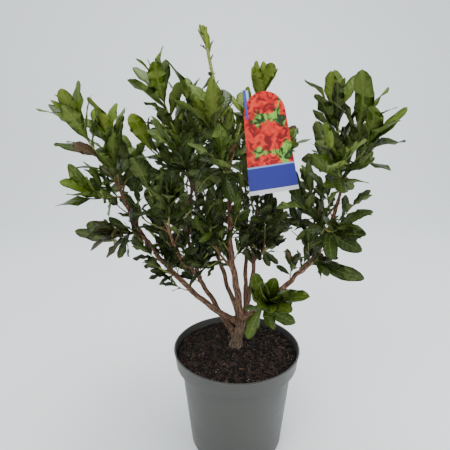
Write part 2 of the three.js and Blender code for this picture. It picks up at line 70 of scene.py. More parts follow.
def add(tree, kind, settings=None, inputs=None, stops=None):
    """Adds a node with its settings, its inputs and a ramp's stops.

    An input is a value, or the socket that is linked to it. Stops are hex codes by their places on the ramp.
    """
    made = tree.nodes.new(kind)
    for name, value in (settings or {}).items():
        setattr(made, name, value)
    for name, value in (inputs or {}).items():
        if isinstance(value, bpy.types.NodeSocket):
            tree.links.new(value, made.inputs[name])
        else:
            made.inputs[name].default_value = value
    for i, (place, code) in enumerate((stops or {}).items()):
        stop = made.color_ramp.elements[i] if i < 2 else made.color_ramp.elements.new(place)
        stop.position = place
        stop.color = tone(code)
    return made


def finish_of(name, roughness, ior, base=None):
    """A material with one Principled shader, and that shader and its tree to link patterns to."""
    material = bpy.data.materials.new(name)
    material.use_nodes = True
    shader = material.node_tree.nodes["Principled BSDF"]
    shader.inputs["Roughness"].default_value = roughness
    shader.inputs["IOR"].default_value = ior
    if base:
        shader.inputs["Base Color"].default_value = tone(base)
    return material, material.node_tree, shader


def sheet_outline(front, back, curve, height, steps):
    """Floor, quarter circle and wall as one line of (y, z) places."""
    turn = np.linspace(0, math.pi / 2, steps)
    bend = np.stack([back + curve * np.sin(turn), curve - curve * np.cos(turn)], 1)
    return np.concatenate([[[front, 0]], bend, [[back + curve, height]]])


outline = sheet_outline(*(SHEET[name] for name in ("front", "back", "curve", "height", "steps")))
rails = [np.insert(outline, 0, side * SHEET["width"] / 2, axis=1) for side in (-1, 1)]
strips = [(i, i + len(outline), i + len(outline) + 1, i + 1) for i in range(len(outline) - 1)]
sheet_mesh = bpy.data.meshes.new("studio_sheet")
sheet_mesh.from_pydata(np.concatenate(rails).tolist(), [], strips)
sheet_mesh.shade_smooth()
sheet_finish, _, _ = finish_of("matt wall paint", roughness=0.8, ior=1.5, base=SHEET_PAINT)
sheet_mesh.materials.append(sheet_finish)
studio_sheet = bpy.data.objects.new("studio_sheet", sheet_mesh)
bpy.context.scene.collection.objects.link(studio_sheet)

LAMPS = {
    "key": {"place": (-0.9, -1.7, 2.2), "size": 1.8, "watts": 36, "tint": (1.0, 0.99, 0.97)},
    "top": {"place": (0.3, 0.4, 2.3), "size": 1.8, "watts": 34, "tint": (0.97, 0.99, 1.0)},
    "side": {"place": (1.8, -0.9, 1.2), "size": 1.4, "watts": 12, "tint": (1.0, 1.0, 1.0)},
}
LAMPS_AIM = (0, 0, 0.4)
for name, lamp in LAMPS.items():
    light = bpy.data.lights.new(name, "AREA")
    light.shape = "DISK"
    light.size = lamp["size"]
    light.energy = lamp["watts"]
    light.color = lamp["tint"]
    holder = bpy.data.objects.new(name, light)
    place = np.array(lamp["place"])
    away = place - LAMPS_AIM
    holder.location = place
    holder.rotation_euler = (
        math.atan2(math.hypot(away[0], away[1]), away[2]), 0, math.atan2(away[1], away[0]) + math.pi / 2)
    bpy.context.scene.collection.objects.link(holder)

sky = bpy.data.worlds.new("sky")
sky.use_nodes = True
sky.node_tree.nodes["Background"].inputs["Color"].default_value = tone(SKY["color"])
sky.node_tree.nodes["Background"].inputs["Strength"].default_value = SKY["strength"]
bpy.context.scene.world = sky

# Pot: a 5 litre nursery pot of injection-moulded polypropylene, a thin tapered shell with a deep rim band.
# It is turned from one outline, up the outside, over the lip and down the inside, and drain holes are cut in
# its foot.
POT = {"height": 179, "foot": 80, "foot_round": 2, "neck": 95, "neck_height": 150, "neck_step": 1.5,
       "band": 103.5, "band_foot": 154, "rim": 107.5, "lip": 3, "bevel": 1, "wall": 1.8, "floor": 3}
POT_ROUNDS = {"radius": 1.6, "steps": 4}
POT_SIDES = 144
POT_EDGE = 50
POT_TONES = {0.32: "#3d3d3a", 0.7: "#464542"}
# The real grain is about 0.2 mm, and is drawn as coarse as it needs to show.
POT_GRAIN_MM = 0.7
POT_CLOUD_MM = 60
DRAIN = {"count": 4, "radius": 7, "ring": 58, "sides": 24}
MM = 0.001


def tube_faces(tubes, along, columns, around=None):
    """Faces of closed tubes, one after another: rings of corners, and then a first and a last pole for each.

    Quads join corners j and j + 1 of a ring to the same corners of the next, and triangles join the end rings
    to their poles. With the faces come their corners' shares round and along the tube: `along` gives each
    row's, and `around` each corner's and the first one's again.
    """
    rows = len(along) - 2
    around = np.linspace(0, 1, columns + 1) if around is None else around
    i, j = (part.ravel() for part in np.mgrid[0:rows - 1, 0:columns])
    after = (j + 1) % columns
    quads = np.stack([i * columns + j, i * columns + after,
                      (i + 1) * columns + after, (i + 1) * columns + j], 1)
    quad_shares = np.stack([
        around[np.stack([j, j + 1, j + 1, j], 1)],
        along[1:][np.stack([i, i, i + 1, i + 1], 1)],
    ], 2)
    j = np.arange(columns)
    after = (j + 1) % columns
    first_pole, last_pole, last_ring = rows * columns, rows * columns + 1, (rows - 1) * columns
    ends = np.concatenate([
        np.stack([np.full(columns, first_pole), after, j], 1),
        np.stack([np.full(columns, last_pole), last_ring + j, last_ring + after], 1),
    ])
    middle = (around[j] + around[j + 1]) / 2
    turns = np.concatenate([np.stack([middle, around[j + 1], around[j]], 1),
                            np.stack([middle, around[j], around[j + 1]], 1)])
    ups = np.repeat([along[[0, 1, 1]], along[[-1, -2, -2]]], columns, axis=0)
    shift = np.arange(tubes)[:, None, None] * (rows * columns + 2)
    faces = [(quads + shift).reshape(-1, 4), (ends + shift).reshape(-1, 3)]
    shares = [np.tile(quad_shares, (tubes, 1, 1)), np.tile(np.stack([turns, ups], 2), (tubes, 1, 1))]
    return faces, shares


def make_piece(name, places, faces, material, replaced=(), maps=None, values=None, sharp=None):
    """A smooth mesh of corner places in metres and groups of faces, put on the plant's body.

    `maps` are UV maps, with one array of corner shares for each group of faces. `values` are one number or
    vector for each corner, that a pattern reads by name. Edges turned by over `sharp` degrees stay sharp.
    """
    mesh = bpy.data.meshes.new(name)
    corners = np.concatenate([group.ravel() for group in faces])
    sizes = np.concatenate([np.full(len(group), group.shape[1]) for group in faces])
    mesh.vertices.add(len(places))
    mesh.vertices.foreach_set("co", np.ascontiguousarray(places, np.float32).ravel())
    mesh.loops.add(len(corners))
    mesh.loops.foreach_set("vertex_index", corners.astype(np.int32))
    mesh.polygons.add(len(sizes))
    mesh.polygons.foreach_set("loop_start", (np.cumsum(sizes) - sizes).astype(np.int32))
    mesh.update(calc_edges=True)
    for label, groups in (maps or {}).items():
        flat = np.concatenate([group.reshape(-1, 2) for group in groups]).astype(np.float32)
        mesh.uv_layers.new(name=label).uv.foreach_set("vector", flat.ravel())
    for label, numbers in (values or {}).items():
        kind, key = ("FLOAT_VECTOR", "vector") if numbers.ndim == 2 else ("FLOAT", "value")
        mesh.attributes.new(label, kind, "POINT").data.foreach_set(key, numbers.astype(np.float32).ravel())
    mesh.shade_smooth()
    if sharp:
        mesh.set_sharp_from_angle(angle=math.radians(sharp))
    mesh.materials.append(material)
    piece = bpy.data.objects.new(name, mesh)
    bpy.context.scene.collection.objects.link(piece)
    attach(piece, "root")
    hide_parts(*replaced)
    return piece


def rounded(line, radius, steps):
    """The line with each corner replaced by a short curve that starts and ends `radius` from it.

    The curve is a parabola with the corner as its handle. On a short side it starts nearer.
    """
    near = 0.45
    line = np.array(line, float)
    bends = [line[:1]]
    share = np.linspace(0, 1, steps)[:, None]
    for before, corner, after in zip(line, line[1:], line[2:]):
        ways = [(end - corner) / np.linalg.norm(end - corner) for end in (before, after)]
        reach = min(radius, *(near * np.linalg.norm(end - corner) for end in (before, after)))
        start, stop = (corner + reach * way for way in ways)
        bends.append((1 - share) ** 2 * start + 2 * share * (1 - share) * corner + share ** 2 * stop)
    return np.concatenate([*bends, line[-1:]])


def turned(line, sides):
    """A line of (radius, height) places, carried round the Z axis: its rings, and then both poles."""
    turn = np.arange(sides) * 2 * math.pi / sides
    radius, height = line[1:-1, 0, None], line[1:-1, 1, None]
    rings = np.stack([radius * np.cos(turn), radius * np.sin(turn), height + 0 * turn], 2).reshape(-1, 3)
    poles = [[0, 0, line[0, 1]], [0, 0, line[-1, 1]]]
    return np.concatenate([rings, poles])


def mottle(tree, shader, where, size, tones, **noise):
    """Colours the finish by noise whose spots are about `size` mm, and gives the noise for other uses."""
    spots = add(tree, "ShaderNodeTexNoise", inputs={"Vector": where, "Scale": 1 / (size * MM), **noise})
    shade = add(tree, "ShaderNodeValToRGB", inputs={"Fac": spots.outputs["Fac"]}, stops=tones)
    tree.links.new(shade.outputs["Color"], shader.inputs["Base Color"])
    return spots.outputs["Fac"]


def moulded_polypropylene():
    """Injection-moulded polypropylene: a satin grey with the mould's fine grain and faint cloudy scuffs."""
    material, tree, shader = finish_of("moulded polypropylene", roughness=0.46, ior=1.49)
    where = add(tree, "ShaderNodeTexCoord").outputs["Object"]
    clouds = mottle(tree, shader, where, POT_CLOUD_MM, POT_TONES, Detail=6.0, Roughness=0.62)
    worn = add(tree, "ShaderNodeMapRange", inputs={
        "Value": clouds, "From Min": 0.3, "From Max": 0.7, "To Min": 0.38, "To Max": 0.56})
    tree.links.new(worn.outputs["Result"], shader.inputs["Roughness"])
    grain = add(tree, "ShaderNodeTexNoise", inputs={
        "Vector": where, "Scale": 1 / (POT_GRAIN_MM * MM), "Detail": 2.0})
    bump = add(tree, "ShaderNodeBump", inputs={
        "Height": grain.outputs["Fac"], "Strength": 0.25, "Distance": 0.1 * MM})
    tree.links.new(bump.outputs["Normal"], shader.inputs["Normal"])
    return material


pot_line = rounded([
    [0, 0],
    [POT["foot"] - POT["foot_round"], 0],
    [POT["foot"], POT["foot_round"]],
    [POT["neck"], POT["neck_height"]],
    [POT["band"], POT["neck_height"] + POT["neck_step"]],
    [POT["rim"] - POT["bevel"], POT["height"] - POT["lip"]],
    [POT["rim"], POT["height"] - POT["lip"] + POT["bevel"]],
    [POT["rim"], POT["height"]],
    [POT["band"] + POT["lip"] - POT["wall"], POT["height"]],
    [POT["band"] - POT["wall"], POT["band_foot"]],
    [POT["neck"] - POT["wall"], POT["neck_height"] - POT["wall"]],
    [POT["foot"] - POT["wall"], POT["floor"] + POT["foot_round"]],
    [POT["foot"] - POT["foot_round"], POT["floor"]],
    [0, POT["floor"]],
], POT_ROUNDS["radius"], POT_ROUNDS["steps"]) * MM
pot_faces, _ = tube_faces(1, np.linspace(0, 1, len(pot_line)), POT_SIDES)
pot_shell = make_piece("pot_shell", turned(pot_line, POT_SIDES), pot_faces, moulded_polypropylene(),
                       replaced=["pot"], sharp=POT_EDGE)
plug_line = np.array([[0, -1], [1, -1], [1, 1], [0, 1]]) * [DRAIN["radius"] * MM, 2 * POT["floor"] * MM]
plug_turns = np.arange(DRAIN["count"]) * 2 * math.pi / DRAIN["count"]
plug_places = np.stack([np.cos(plug_turns), np.sin(plug_turns), 0 * plug_turns], 1) * DRAIN["ring"] * MM
plug_faces, _ = tube_faces(DRAIN["count"], np.linspace(0, 1, 4), DRAIN["sides"])
plugs = make_piece("drain_plugs", (turned(plug_line, DRAIN["sides"]) + plug_places[:, None]).reshape(-1, 3),
                   plug_faces, pot_shell.data.materials[0])
cut = pot_shell.modifiers.new("drain_holes", "BOOLEAN")
cut.object = plugs
cut.operation = "DIFFERENCE"
cut.solver = "EXACT"
bpy.context.view_layer.objects.active = pot_shell
bpy.ops.object.modifier_apply(modifier=cut.name)
bpy.data.objects.remove(plugs)

# Compost: moist peat and composted bark, black-brown and crumbly, to 12 mm below the rim.
# One closed body follows the pot's inside, and its top is uneven under a litter of loose crumbs.
SOIL = {"top": 167, "gap": 0.3, "edge": 0.4, "under": 2, "settle": 0.6, "rings": 46, "sides": 160,
        "inner_ring": 0.01, "lumps": 1.1, "lump_size": 9, "grains": 0.7, "grain_size": 3}
SOIL_TONES = {0.36: "#0b0807", 0.55: "#19110d", 0.72: "#291c15"}
TRUNK_FOOT = (0, 16)
TRUNK_CLEAR = 14
PRESSED = 0.6


def rough(places, size, seed, waves=40, stretch=1.6):
    """Unevenness with a spread of about 1: the sum of sine waves about `size` long in random directions."""
    draw = np.random.default_rng(seed)
    ways = draw.normal(size=(waves, places.shape[-1])) * 2 * math.pi / size / stretch
    return np.sin(places @ ways.T + draw.uniform(0, 2 * math.pi, waves)).sum(-1) * math.sqrt(2 / waves)


def soil_height(x, y):
    """How high the compost stands at a place, in mm: its top with lumps and grains, flat at the trunk."""
    flat = np.stack([x, y], -1)
    lumps = (SOIL["lumps"] * rough(flat, SOIL["lump_size"], 1)
             + SOIL["grains"] * rough(flat, SOIL["grain_size"], 2))
    away = np.hypot(x - TRUNK_FOOT[0], y - TRUNK_FOOT[1])
    return SOIL["top"] - SOIL["settle"] + np.clip(away / TRUNK_CLEAR - PRESSED, 0, 1) * lumps


def moist_peat():
    """Peat and composted bark: nearly black where moist, browner on dry lumps, and quite without gloss."""
    material, tree, shader = finish_of("moist peat compost", roughness=0.95, ior=1.4)
    where = add(tree, "ShaderNodeTexCoord").outputs["Object"]
    lumps = mottle(tree, shader, where, SOIL["grain_size"], SOIL_TONES, Detail=8.0, Roughness=0.7)
    bump = add(tree, "ShaderNodeBump", inputs={"Height": lumps, "Strength": 0.9, "Distance": 0.8 * MM})
    tree.links.new(bump.outputs["Normal"], shader.inputs["Normal"])
    return material


inside = POT["wall"] + SOIL["gap"]
band_share = (SOIL["top"] - POT["band_foot"]) / (POT["height"] - POT["band_foot"])
soil_edge = POT["band"] + POT["lip"] * band_share - inside - SOIL["edge"]
soil_wall = [
    [0, POT["floor"] + SOIL["gap"]],
    [POT["foot"] - POT["foot_round"] - SOIL["gap"], POT["floor"] + SOIL["gap"]],
    [POT["foot"] - inside, POT["floor"] + POT["foot_round"] + SOIL["gap"]],
    [POT["neck"] - inside, POT["neck_height"] - POT["wall"] + SOIL["gap"]],
    [POT["band"] - inside, POT["band_foot"] + SOIL["gap"]],
]
soil_rings = [[soil_edge * share, SOIL["top"] - SOIL["under"]]
              for share in np.linspace(1, SOIL["inner_ring"], SOIL["rings"])]
soil_line = np.array([*soil_wall, *soil_rings, [0, SOIL["top"] - SOIL["under"]]])
soil_places = turned(soil_line, SOIL["sides"])
on_top = soil_places[:, 2] > SOIL["top"] - 2 * SOIL["under"]
soil_places[on_top, 2] = soil_height(soil_places[on_top, 0], soil_places[on_top, 1])
soil_faces, _ = tube_faces(1, np.linspace(0, 1, len(soil_line)), SOIL["sides"])
make_piece("compost", soil_places * MM, soil_faces, moist_peat(), replaced=["soil"])

# Litter on the compost: chips of composted bark, peat crumbs, dry fibres and a little pale grit.
# Each kind is one joined mesh. A crumb is a five-sided nugget with pointed ends, knocked out of shape by its
# own random numbers.
LITTER = {
    "bark_chips": {"count": 1100, "size": (10.0, 4.6, 2.0), "tones": ("#17100d", "#3d2c25"), "tilt": 24},
    "red_chips": {"count": 330, "size": (8.5, 3.6, 1.6), "tones": ("#2d1b15", "#573b2e"), "tilt": 26},
    "peat_crumbs": {"count": 3600, "size": (3.8, 3.0, 2.3), "tones": ("#090706", "#211814"), "tilt": 60},
    "dry_fibres": {"count": 380, "size": (10.0, 0.9, 0.6), "tones": ("#4f3e2c", "#8a7458"), "tilt": 18},
    "pale_grit": {"count": 150, "size": (2.0, 1.7, 1.5), "tones": ("#777166", "#b4ae9f"), "tilt": 60},
}
CRUMB = {"sides": 5, "girth": 0.9, "knock": 0.28, "sizes": (0.45, 1.35), "shapes": (0.75, 1.25),
         "lifts": (0.2, 1.1), "edge": 40, "from_wall": 2, "from_trunk": 13}
CRUMB_ROWS = np.array([-1.0, -0.62, 0.1, 0.7, 1.0])
PORES = {"size_mm": 2.4, "dark": 0.35, "light": 0.65}


def turned_by(axis, angles):
    """Rotation matrices about one axis, for an array of angles."""
    cos, sin, none, one = np.cos(angles), np.sin(angles), np.zeros_like(angles), np.ones_like(angles)
    rows = {
        "x": [one, none, none, none, cos, -sin, none, sin, cos],
        "y": [cos, none, sin, none, one, none, -sin, none, cos],
        "z": [cos, -sin, none, sin, cos, none, none, none, one],
    }[axis]
    return np.stack(rows, -1).reshape(*angles.shape, 3, 3)


def crumbs(count, size, tilt, seed):
    """Nuggets strewn evenly over the compost, clear of the trunk's foot, each turned and tilted at random."""
    draw = np.random.default_rng(seed)
    turn = np.arange(CRUMB["sides"]) * 2 * math.pi / CRUMB["sides"]
    girth = np.sqrt(1 - CRUMB_ROWS[1:-1, None] ** 2) * (CRUMB["girth"] + 0 * turn)
    rings = np.stack([CRUMB_ROWS[1:-1, None] + 0 * turn, girth * np.cos(turn), girth * np.sin(turn)], 2)
    shape = np.concatenate([rings.reshape(-1, 3), [[-1, 0, 0], [1, 0, 0]]])
    knocks = draw.uniform(-CRUMB["knock"], CRUMB["knock"], (count, *shape.shape))
    sizes = np.array(size) / 2 * draw.uniform(*CRUMB["sizes"], (count, 1))
    sizes = sizes * draw.uniform(*CRUMB["shapes"], (count, 3))
    nuggets = (shape + knocks) * sizes[:, None]
    angles = np.radians(draw.normal(0, tilt, (2, count)))
    heading = turned_by("z", draw.uniform(0, 2 * math.pi, count))
    pose = heading @ turned_by("y", angles[0]) @ turned_by("x", angles[1])
    nuggets = nuggets @ pose.transpose(0, 2, 1)
    reach = np.sqrt(draw.uniform(0, 1, count)) * (soil_edge - CRUMB["from_wall"] - sizes[:, 0] / 2)
    turn = draw.uniform(0, 2 * math.pi, count)
    x, y = reach * np.cos(turn), reach * np.sin(turn)
    away = np.hypot(x - TRUNK_FOOT[0], y - TRUNK_FOOT[1])
    push = np.maximum(1, CRUMB["from_trunk"] / np.maximum(away, 1))
    x, y = TRUNK_FOOT[0] + (x - TRUNK_FOOT[0]) * push, TRUNK_FOOT[1] + (y - TRUNK_FOOT[1]) * push
    lift = soil_height(x, y) + sizes[:, 2] * draw.uniform(*CRUMB["lifts"], count)
    return (nuggets + np.stack([x, y, lift], 1)[:, None]).reshape(-1, 3)


def dry_crumb(name, tones):
    """Dry bark, peat, fibre or stone: dull, darker in its pores, with colour that changes over the crumbs."""
    material, tree, shader = finish_of(name, roughness=0.9, ior=1.45)
    where = add(tree, "ShaderNodeTexCoord").outputs["Object"]
    pore_tones = {PORES["dark"]: tones[0], PORES["light"]: tones[1]}
    mottle(tree, shader, where, PORES["size_mm"], pore_tones, Detail=4.0)
    return material


for seed, (name, kind) in enumerate(LITTER.items()):
    crumb_faces, _ = tube_faces(kind["count"], CRUMB_ROWS, CRUMB["sides"])
    crumb_places = crumbs(kind["count"], kind["size"], kind["tilt"], seed)
    crumb_finish = dry_crumb(name.replace("_", " "), kind["tones"])
    make_piece(name, crumb_places * MM, crumb_faces, crumb_finish, replaced=["soil"],
               sharp=CRUMB["edge"])

# Trunk and boughs: a short grey stump that forks into long reddish stems, with thin bark that peels in
# strips. Each limb is one tube carried along the same cubic curve as its solid, with kinks, knots and bark
# relief. A route is start, two handles and tip, in mm.
TRUNK = {"route": [[0, 16, 166], [0, 16, 188], [9, 12, 204], [9, 12, 226]], "radii": [9.5, 7.4],
         "flare": 5.5, "flare_share": 0.16, "flare_lobes": 3, "lobe_depth": 0.25}
BOUGHS = {
    "middle_bough": {
        "route": [[9, 12, 222], [-8, -5, 299], [-14, -20, 376], [-13, -35, 454]],
        "radii": [6.4, 2.8],
    },
    "left_bough": {
        "route": [[8, 13, 210], [-62, 5, 252], [-149, -18, 355], [-168, -28, 431]],
        "radii": [5.4, 2.4],
    },
    "right_bough": {
        "route": [[10, 10, 222], [76, -30, 300], [127, -33, 334], [147, -38, 440]],
        "radii": [5.2, 2.4],
    },
    "left_inner_bough": {
        "route": [[0, 17, 178], [-50, 35, 268], [-101, 38, 323], [-77, 30, 427]],
        "radii": [4.8, 2.4],
    },
    "right_inner_bough": {
        "route": [[10, 14, 218], [32, 30, 276], [31, 36, 358], [34, 40, 416]],
        "radii": [4.4, 2.3],
    },
    "back_left_bough": {
        "route": [[6, 14, 214], [-20, 70, 290], [-55, 120, 340], [-75, 140, 410]],
        "radii": [4.4, 2.3],
    },
    "back_bough": {
        "route": [[11, 15, 214], [26, 70, 285], [20, 120, 350], [20, 150, 420]],
        "radii": [4.2, 2.3],
    },
    "front_left_bough": {
        "route": [[-63, 31, 290], [-80, 8, 318], [-92, -30, 345], [-98, -56, 388]],
        "radii": [3.2, 2.2],
    },
}
LIMB = {"columns": 28, "row_mm": 2.2, "length_steps": 40, "kink": 1.3, "kink_size": 46, "kink_seed": 50,
        "relief": 0.34, "relief_edge": 0.7, "strip_width": 2.6, "strip_stretch": 7, "knot_step": 19,
        "knot_height": 0.55, "knot_size": 2.4, "collar": 0.2, "collar_share": 0.05, "bulge": 0.3}
GOLDEN_ANGLE = math.radians(137.5)
AGES = {"trunk": (0.0, 0.4), "bough": (0.5, 1.0)}
BARK_TONES = {
    "old": {0.36: "#2e251d", 0.5: "#5a4b3c", 0.66: "#85745f"},
    "young": {0.36: "#2b130d", 0.5: "#5a2e20", 0.66: "#b08a68"},
}
BARK_FLAKE_MM = 1.3
# A colour Mix node's sockets are told apart by their order.
FACTOR, FIRST, SECOND, BLENDED = 0, 6, 7, 2


def bezier(route, shares):
    """Places on a cubic curve at the shares given."""
    a, b, c, d = np.array(route, float)
    s = np.asarray(shares, float)[..., None]
    return (1 - s) ** 3 * a + 3 * (1 - s) ** 2 * s * b + 3 * (1 - s) * s ** 2 * c + s ** 3 * d


def unit(vectors):
    """The same directions at length 1."""
    return vectors / np.linalg.norm(vectors, axis=-1, keepdims=True)


def frame_at(route, shares):
    """Directions on a cubic curve: along it, and two across it at right angles.

    The first across is square to the X or the Y axis, whichever the curve runs least along.
    """
    a, b, c, d = np.array(route, float)
    s = np.asarray(shares, float)[..., None]
    along = unit((1 - s) ** 2 * (b - a) + 2 * (1 - s) * s * (c - b) + s ** 2 * (d - c))
    chord = d - a
    flat = np.array([1.0, 0, 0] if abs(chord[0]) < abs(chord[1]) else [0, 1.0, 0])
    across = unit(np.cross(along, flat))
    return along, across, np.cross(across, along)


def limb(route, radius, shares, columns, kink=0.0, seed=0):
    """Rings of `radius`, one for each row and column, round a cubic curve, and then both poles, in mm.

    The curve is pushed sideways by up to about `kink`, and its ends stay in place.
    """
    along, across, over = frame_at(route, shares)
    middle = bezier(route, shares)
    if kink:
        travel = np.linalg.norm(np.diff(middle, axis=0), axis=1).sum() * shares[:, None]
        free = np.sin(math.pi * np.clip(shares, 0, 1)) ** 0.5
        middle = middle + across * (kink * free * rough(travel, LIMB["kink_size"], seed))[:, None]
        other = rough(travel, LIMB["kink_size"], seed + LIMB["kink_seed"])
        middle = middle + over * (kink * free * other)[:, None]
    turn = -np.arange(columns) * 2 * math.pi / columns
    ways = across[:, None] * np.cos(turn)[:, None] + over[:, None] * np.sin(turn)[:, None]
    rings = middle[:, None] + ways * radius[..., None]
    bulge = along[[0, -1]] * radius[[0, -1], :1] * [[-LIMB["bulge"]], [LIMB["bulge"]]]
    return np.concatenate([rings.reshape(-1, 3), middle[[0, -1]] + bulge])


def bark_limb(route, radii, seed, flare=None):
    """A limb's corners, with the place of each in the limb's own grain, its share of the way, and the rows.

    To the tapering radius are added a flare with lobes or a collar at the foot, both dying away, then strips
    of bark that stand proud or sunk, and round knots at the golden angle.
    """
    middle = bezier(route, np.linspace(0, 1, LIMB["length_steps"]))
    length = np.linalg.norm(np.diff(middle, axis=0), axis=1).sum()
    rows = int(length / LIMB["row_mm"])
    shares = np.linspace(0, 1, rows)
    turn = np.arange(LIMB["columns"]) * 2 * math.pi / LIMB["columns"]
    radius = (radii[0] + (radii[1] - radii[0]) * shares)[:, None] + 0 * turn
    travel = (shares * length)[:, None] + 0 * turn
    if flare:
        lobes = 1 + flare["lobe_depth"] * (np.cos(flare["flare_lobes"] * turn) - 1)
        radius = radius + flare["flare"] * lobes * np.exp(-shares / flare["flare_share"])[:, None]
    else:
        radius = radius * (1 + LIMB["collar"] * np.exp(-shares / LIMB["collar_share"]))[:, None]
    grain = np.stack([radius * np.cos(turn), radius * np.sin(turn), travel / LIMB["strip_stretch"]], 2)
    strips = rough(grain, LIMB["strip_width"], seed)
    relief = LIMB["relief"] * np.sign(strips) * np.abs(strips) ** LIMB["relief_edge"]
    knots = np.arange(1, int(length / LIMB["knot_step"]))
    knot_turn = (knots * GOLDEN_ANGLE) % (2 * math.pi)
    knot_travel = knots * LIMB["knot_step"]
    around = (turn[None, :, None] - knot_turn + math.pi) % (2 * math.pi) - math.pi
    off = np.hypot(around * radius[..., None], travel[..., None] - knot_travel)
    relief = relief + LIMB["knot_height"] * np.exp(-(off / LIMB["knot_size"]) ** 2).sum(-1)
    places = limb(route, radius + relief, shares, LIMB["columns"], 0 if flare else LIMB["kink"], seed)
    flat_grain = np.concatenate([grain.reshape(-1, 3), grain[[0, -1], 0]])
    share_each = np.concatenate([np.repeat(shares, LIMB["columns"]), [0, 1]])
    return places, flat_grain, share_each, rows


def by_age(tree, shader, spots, age, tones):
    """Colours the finish by a pattern, in old wood's tones where the age is 0 and in young wood's at 1."""
    shades = [add(tree, "ShaderNodeValToRGB", inputs={"Fac": spots}, stops=tones[kind]).outputs["Color"]
              for kind in ("old", "young")]
    blend = add(tree, "ShaderNodeMix", {"data_type": "RGBA"}, {
        FACTOR: age, FIRST: shades[0], SECOND: shades[1]})
    tree.links.new(blend.outputs[BLENDED], shader.inputs["Base Color"])


def azalea_bark():
    """Azalea bark: grey-brown and flaking at the foot, reddish brown with pale strips on younger wood."""
    material, tree, shader = finish_of("azalea bark", roughness=0.82, ior=1.45)
    grain = add(tree, "ShaderNodeAttribute", {"attribute_name": "grain"}).outputs["Vector"]
    age = add(tree, "ShaderNodeAttribute", {"attribute_name": "age"}).outputs["Fac"]
    strips = add(tree, "ShaderNodeTexNoise", inputs={
        "Vector": grain, "Scale": 1 / BARK_FLAKE_MM, "Detail": 7.0, "Roughness": 0.65}).outputs["Fac"]
    by_age(tree, shader, strips, age, BARK_TONES)
    bump = add(tree, "ShaderNodeBump", inputs={"Height": strips, "Strength": 0.8, "Distance": 0.35 * MM})
    tree.links.new(bump.outputs["Normal"], shader.inputs["Normal"])
    return material


LIMBS = {"trunk": TRUNK, **BOUGHS}
bark = azalea_bark()
for seed, (name, grown) in enumerate(LIMBS.items()):
    flare = TRUNK if name == "trunk" else None
    places, grain, share, rows = bark_limb(grown["route"], grown["radii"], seed, flare)
    at_foot, at_tip = AGES["trunk" if name == "trunk" else "bough"]
    limb_faces, _ = tube_faces(1, np.linspace(0, 1, rows + 2), LIMB["columns"])
    make_piece(name + "_bark", places * MM, limb_faces, bark, replaced=[name],
               values={"grain": grain, "age": at_foot + (at_tip - at_foot) * share})

